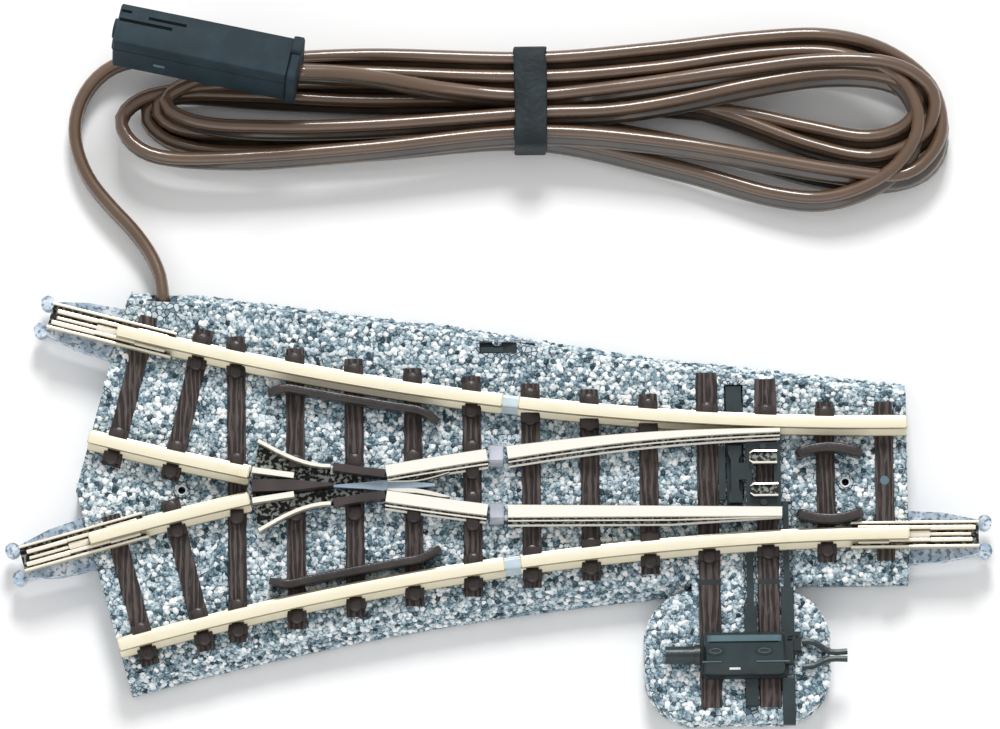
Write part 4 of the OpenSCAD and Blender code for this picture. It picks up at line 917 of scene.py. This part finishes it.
# Clips over the blades' heels: a bent strap with a flat top and sloping cheeks
clips = []
for side in (NORTH, SOUTH):
    strap = np.array([[-0.95, 0], [0.95, 0], [0.98, 0.9], [0.78, 1.7], [0.62, 2.06], [-0.62, 2.06], [-0.78, 1.7],
                      [-0.98, 0.9]])
    path = [[pivot_x + along, side * pivot_y, sleeper_top] for along in (-0.62, -0.5, 0.5, 0.62)]
    rings = np.repeat(strap[None], 4, axis=0)
    rings[[0, 3]] *= [[[0.93, 0.96]]]
    clips.append(sweep(rings, path))
piece("heel_straps", merged(clips), clip_metal, stands_for=("heel_clip_north", "heel_clip_south", "heel_pins"),
      slot="clip_plated", crease=20)

# Joiners: two long lips outside the rail, and a spring on each side of its web that steps half way along
for word, turned, place in (("toe", 0, (track_len, 0)), ("leg_north", 180 - 15, (0, leg_end_y)),
                            ("leg_south", 180 + 15, (0, -leg_end_y))):
    c, s = math.cos(math.radians(turned)), math.sin(math.radians(turned))
    parts, painted_shade_flags = [], []
    # each strip: from, to, offset from the rail's middle, half width, bottom, top, dark (1 for the floor plate and the
    # inner strips, painted shade)
    strips = [(-5.2, 6.3, 0, 1.0, 0.03, 0.2, 1), (-5.25, 6.3, -1.09, 0.11, 0.0, 0.95, 0),
              (-5.25, 6.3, 1.09, 0.11, 0.0, 0.95, 0), (-5.1, 6.2, -0.86, 0.11, 0.2, 0.62, 1),
              (-5.1, 6.2, 0.86, 0.11, 0.2, 0.62, 1), (-4.6, -1.8, 0.66, 0.17, 0.2, 0.95, 0),
              (-1.8, 1.9, 0.6, 0.16, 0.2, 1.1, 0), (1.9, 6.0, 0.6, 0.2, 0.2, 0.85, 0),
              (-4.6, -1.8, -0.66, 0.14, 0.2, 0.85, 0), (-1.8, 1.9, -0.52, 0.16, 0.2, 1.05, 0),
              (1.9, 5.7, -0.5, 0.18, 0.2, 0.85, 0), (0.05, 1.9, 0.05, 0.3, 0.2, 0.75, 0),
              (1.9, 5.6, 0.05, 0.14, 0.2, 0.55, 0)]
    for x0, x1, off, half, z0, z1, mark in strips:
        section = rounded(2 * half, z1 - z0, min(0.05, half * 0.4), 3, sleeper_top + 0.05 + z0)
        along = np.array([x0, x0 + 0.08, (x0 + x1) / 2, x1 - 0.08, x1])
        rings = np.repeat(section[None], 5, axis=0)
        rings[[0, 4], :, 0] *= 0.8
        local = np.column_stack([along, np.full(5, -rail_y + off), np.zeros(5)])
        world = local @ np.array([[c, s, 0], [-s, c, 0], [0, 0, 1]]) + [*place, 0]
        parts.append(sweep(rings, world))
        painted_shade_flags += [mark] * len(parts[-1][0])
    piece("spring_joiner_" + word, merged(parts), joiner_metal, stands_for=("joiner_" + word,), slot="joiner_nickel",
          crease=40, dark=painted_shade_flags)

# Inner guard flanges of the closure rails: thin leaves that run from the frog towards the clips. The leaves are painted
# shade, near black with flecks, and bright edge strips stand above them.
for word, side in SIDES:
    u = np.linspace(0, 1, 12)
    x = closure_x + 0.1 + 5.6 * u
    rail = -arc_y(x, inner_r)
    inner = np.maximum(rail - 1.0 - 0.3 * np.sin(math.pi * u), 0.26)
    outline = np.vstack([np.column_stack([x, side * inner]), np.column_stack([x, side * (rail - head_half)])[::-1]])
    piece("frog_leaf_" + word, prism(outline, sleeper_top + 0.5, sleeper_top + 0.8, 0.04), blade_metal,
          slot="blade_nickel", dark=np.ones(3 * len(outline)))
    lip = inner + 0.02 if side == NORTH else inner + 0.05
    outer = lip + (0.1 if side == NORTH else 0.1 + 0.32 * np.sin(math.pi * u) ** 0.7)
    outline = np.vstack([np.column_stack([x, side * lip]), np.column_stack([x, side * outer])[::-1]])
    piece("frog_leaf_edge_" + word, prism(outline, sleeper_top + 0.75, sleeper_top + 1.1, 0.03), blade_metal,
          slot="blade_nickel")

# Check rails: flat bars with softened edges whose ends turn away from the rail
flangeway, check_half = 0.9, 0.325
check_r = outer_r + head_half + flangeway + check_half
guards = []
for side, arch_y in ((NORTH, 2.95), (SOUTH, 3.6)):
    u = np.linspace(-1, 1, 40)
    long_x = frog_x + 0.5 + 7.7 * u
    long_y = arc_y(long_x, check_r) - 0.75 * (np.maximum(np.abs(u) - 0.74, 0) / 0.26) ** 1.4
    arch_x = track_len - 7.1 + 2.96 * u
    bars = [(long_x, side * long_y, 0.74), (arch_x, side * (arch_y - u**2 * 0.65), 0.86)]
    for x, y, width in bars:
        dip = 1 - 0.3 * (np.maximum(np.abs(u) - 0.85, 0) / 0.15) ** 2
        section = rounded(width, 1.7, 0.16)
        line = raised(np.stack([x, y], -1), sleeper_top)
        guards.append(sweep(section[None] * dip[:, None, None], line))
piece("guard_rails", merged(guards), guard_plastic, stands_for=("check_rails",), slot="sleeper_brown")

# Dummy point machine: a flange plate, a casing with two bevels and drawn-in ends, and its fittings
low, high = mm("machine_body")
x0, body_y = low[0], (low[1] + high[1]) / 2
casing_x = np.array([0.35, 0.55, 1.0, 4.0, 7.1, 7.45, 7.6]) + x0
casing = np.array([[-1.85, 0.4], [1.85, 0.4], [1.85, 1.15], [1.75, 1.35], [0.95, 2.1], [-0.75, 2.15], [-1.6, 1.4],
                   [-1.85, 1.2]])
pull = np.array([[0.9, 0.8], [0.97, 0.97], [1, 1], [1, 1], [1, 1], [0.97, 0.97], [0.9, 0.8]])
flange = np.array([[0, -1.5], [0.6, -2.1], [7.4, -2.1], [8, -1.6], [8, 1.7], [9.1, 1.8], [9.1, 2.1], [0.6, 2.1],
                   [0, 1.5]])
grips = [(x0 + 1.35, body_y + 0.15), (x0 + 5.75, body_y + 0.15)]


def fitting(a, b, c, d, z0, z1, bevel):
    """Block on the machine, measured from the middle of its heel end."""
    return slab(x0 + a, body_y + b, x0 + c, body_y + d, sleeper_top + z0, sleeper_top + z1, bevel)


dark_parts = [prism(flange + [x0, body_y], sleeper_top, sleeper_top + 0.5, 0.1)]
dark_parts += [fitting(a, b, c, d, 0, h, 0.08) for a, b, c, d, h in (
    (7.5, -0.9, 8.4, 1.2, 1.1), (8.2, 0.3, 9.1, 1.5, 0.8), (5.35, 1.0, 6.4, 1.95, 1.75), (0.5, 1.75, 1.9, 2.08, 0.75),
    (3.3, 1.75, 5.2, 2.05, 0.7), (2.1, -2.08, 5.4, -1.8, 0.7))]
dark_parts += [prism(wheel(20) * [0.82, 0.42] + grip, sleeper_top + 2.0, sleeper_top + 2.2, 0.04) for grip in grips]
piece("machine_fittings", merged(dark_parts), machine_dark, stands_for=("machine_body",), slot="mechanism_green")
casing_line = raised(np.stack([casing_x, np.full(7, body_y)], -1), sleeper_top)
piece("machine_casing", sweep(casing[None] * pull[:, None], casing_line), mechanism, slot="mechanism_green", crease=20)
# Painted highlights: a paler strip over the casing's north bevel, paler rims round the grips and two thin pale lines
# along the top's south edge.
bright = [fitting(0.65, 1.02, 7.3, 1.62, 1.2, 2.06, 0.3)]
bright += [hoop(wheel(20) * [0.5, 0.2], grip, sleeper_top + 2.22, 0.05 * circle[::4]) for grip in grips]
bright += [fitting(a, -0.86, b, -0.76, 1.9, 2.2, 0.02) for a, b in ((0.15, 1.9), (5.0, 8.0))]
piece("machine_highlights", merged(bright), pale_green_and_painted_highlight, slot="mechanism_green")
piece("machine_mark", fitting(2.6, -1.48, 3.6, -1.2, 1.3, 1.78, 0.04), white_paint_and_hole_light, slot="mechanism_green")

# Tie band: a wrinkled strap round the hank's waist
low, high = mm("tie_band")
strap_w, thick = high[0] - low[0], 0.4
mid_y, half_y = (low[1] + high[1]) / 2, (high[1] - low[1]) / 2 - thick / 2
t = np.linspace(0, 2 * math.pi, 96, endpoint=False)
squareness = 0.28
loop_y = mid_y + half_y * np.sign(np.cos(t)) * np.abs(np.cos(t)) ** squareness
loop_z = high[2] / 2 + (high[2] / 2 - thick / 2) * np.sign(np.sin(t)) * np.abs(np.sin(t)) ** squareness
loop = np.column_stack([np.full(96, (low[0] + high[0]) / 2), loop_y, loop_z])
loop[:, 0] += 0.05 * np.sin(5 * t)
strip = rounded(strap_w - 0.15, thick, 0.15, 3, -thick / 2)
points, faces = band(strip, loop)
points[:, 0] += 0.04 * np.sin(points[:, 1] * 3.1 + points[:, 0])
hank_band = piece("wrinkled_band", (points, faces), band_rubber, stands_for=("tie_band",), slot="band_slate",
                  crease=60)

# Plug, drawn along X and then laid on the hank
plug_len, plug_w, plug_h = 16.9, 4.0, 5.0
plug_base = np.array([9.68, 38.65, 5.9])
yaw, roll = math.radians(-12.5), math.radians(-14)


def on_hank(points):
    """Plug coordinates to the object's: shift half a length back, roll about X, yaw about Z and move to its place."""
    p = np.asarray(points, float) - [plug_len / 2, 0, 0]
    tilt = np.array([[1, 0, 0], [0, math.cos(roll), -math.sin(roll)], [0, math.sin(roll), math.cos(roll)]])
    swing = np.array([[math.cos(yaw), -math.sin(yaw), 0], [math.sin(yaw), math.cos(yaw), 0], [0, 0, 1]])
    return p @ (swing @ tilt).T + plug_base


def bar_x(x0, x1, section, ends=0.93):
    """A section in (y, z) carried along the plug, with its ends drawn in slightly about its middle."""
    xs = np.array([x0, x0 + 0.12, (x0 + x1) / 2, x1 - 0.12, x1])
    middle = section.mean(0)
    scale = np.array([ends, 1, 1, 1, ends])[:, None, None]
    rings = middle + (section - middle) * scale
    points = np.concatenate([np.repeat(xs, len(section))[:, None], rings.reshape(-1, 2)], 1)
    return on_hank(points), bar_faces(len(xs), len(section))


shell = rounded(plug_w, plug_h, 0.22, 4)
flank, groove = -plug_w / 2, -plug_w / 2 + 0.08
shell = np.vstack([shell[:8], [[flank, 3.55], [groove, 3.5], [groove, 3.42], [flank, 3.38]], shell[8:]])
collar = rounded(plug_w + 0.6, plug_h + 0.3, 0.55, 5, -0.05)
lug = rounded(1.7, 0.7, 0.3, 5, plug_h - 0.1) + [1.15, 0]
socket = 0.95 * circle
mouths = [bar_x(-0.3, 0.5, socket * [1, 0.98] + [0, plug_h / 2 + s * 1.1]) for s in (-1, 1)]
collar_x = plug_len - 0.9
plug_shell = piece("plug_shell", merged([bar_x(0, collar_x, shell), *mouths]), slate, stands_for=("plug_housing",),
                   slot="plug_slate")
end = merged([bar_x(collar_x, plug_len, collar), bar_x(plug_len - 0.95, plug_len - 0.05, lug)])
plug_collar = piece("plug_end_collar", end, slate, stands_for=("plug_collar",), slot="plug_slate")
# Painted shade: near-black strips in the slots on the plug's top, and near-black discs in its socket mouths.
recess = [bar_x(a, b, rounded(w, 0.1, 0.03, 2, plug_h - 0.09) + [y, 0], 0.99)
          for a, b, w, y in ((0.15, 5.0, 0.36, 0.35), (2.7, 6.2, 0.34, 0.98), (0.15, 1.1, 0.32, 1.25))]
recess += [bar_x(-0.34, -0.2, 0.6 * circle + [0, plug_h / 2 + s * 1.1], 0.9) for s in (-1, 1)]
plug_recesses = piece("plug_recesses", merged(recess), recess_shade, slot="plug_slate")
nub = bar_x(3.8, 4.9, wheel(16) * [0.1, 0.22] + [flank - 0.02, 1.9], 0.5)
plug_nub = piece("plug_nub", nub, pale_green_and_painted_highlight, slot="plug_slate", crease=60)

# Floor and light
floor = bpy.data.objects.new("floor", bpy.data.meshes.new("floor"))
reach = 1.2
corners = [(-reach, -reach, 0), (reach, -reach, 0), (reach, reach, 0), (-reach, reach, 0)]
floor.data.from_pydata(corners, [], [[0, 1, 2, 3]])
pale = Finish("pale_floor", Roughness=0.9, Specular_IOR_Level=0.1)
pale.feed(pale.shader, {"Base Color": rgb(250, 250, 250)})
floor.data.materials.append(pale.material)
bpy.context.scene.collection.objects.link(floor)
floor.location.z = cad_low.z - 0.0002


def lamp(name, place, size, power):
    """Square soft light that faces the middle of the turnout."""
    data = bpy.data.lights.new(name, "AREA")
    data.size, data.energy = size, power
    made = bpy.data.objects.new(name, data)
    made.location = place
    face(made, aim - np.array(place))


lamp("key_light", (0.06, 0.42, 0.42), 0.16, 2.3)
lamp("fill_light", (-0.1, -0.5, 0.35), 0.5, 0.7)
world = bpy.data.worlds.new("studio")
world.use_nodes = True
world.node_tree.nodes["Background"].inputs[0].default_value = (1, 1, 1, 1)
world.node_tree.nodes["Background"].inputs[1].default_value = 0.64
bpy.context.scene.world = world
bpy.context.scene.view_settings.view_transform = "Standard"
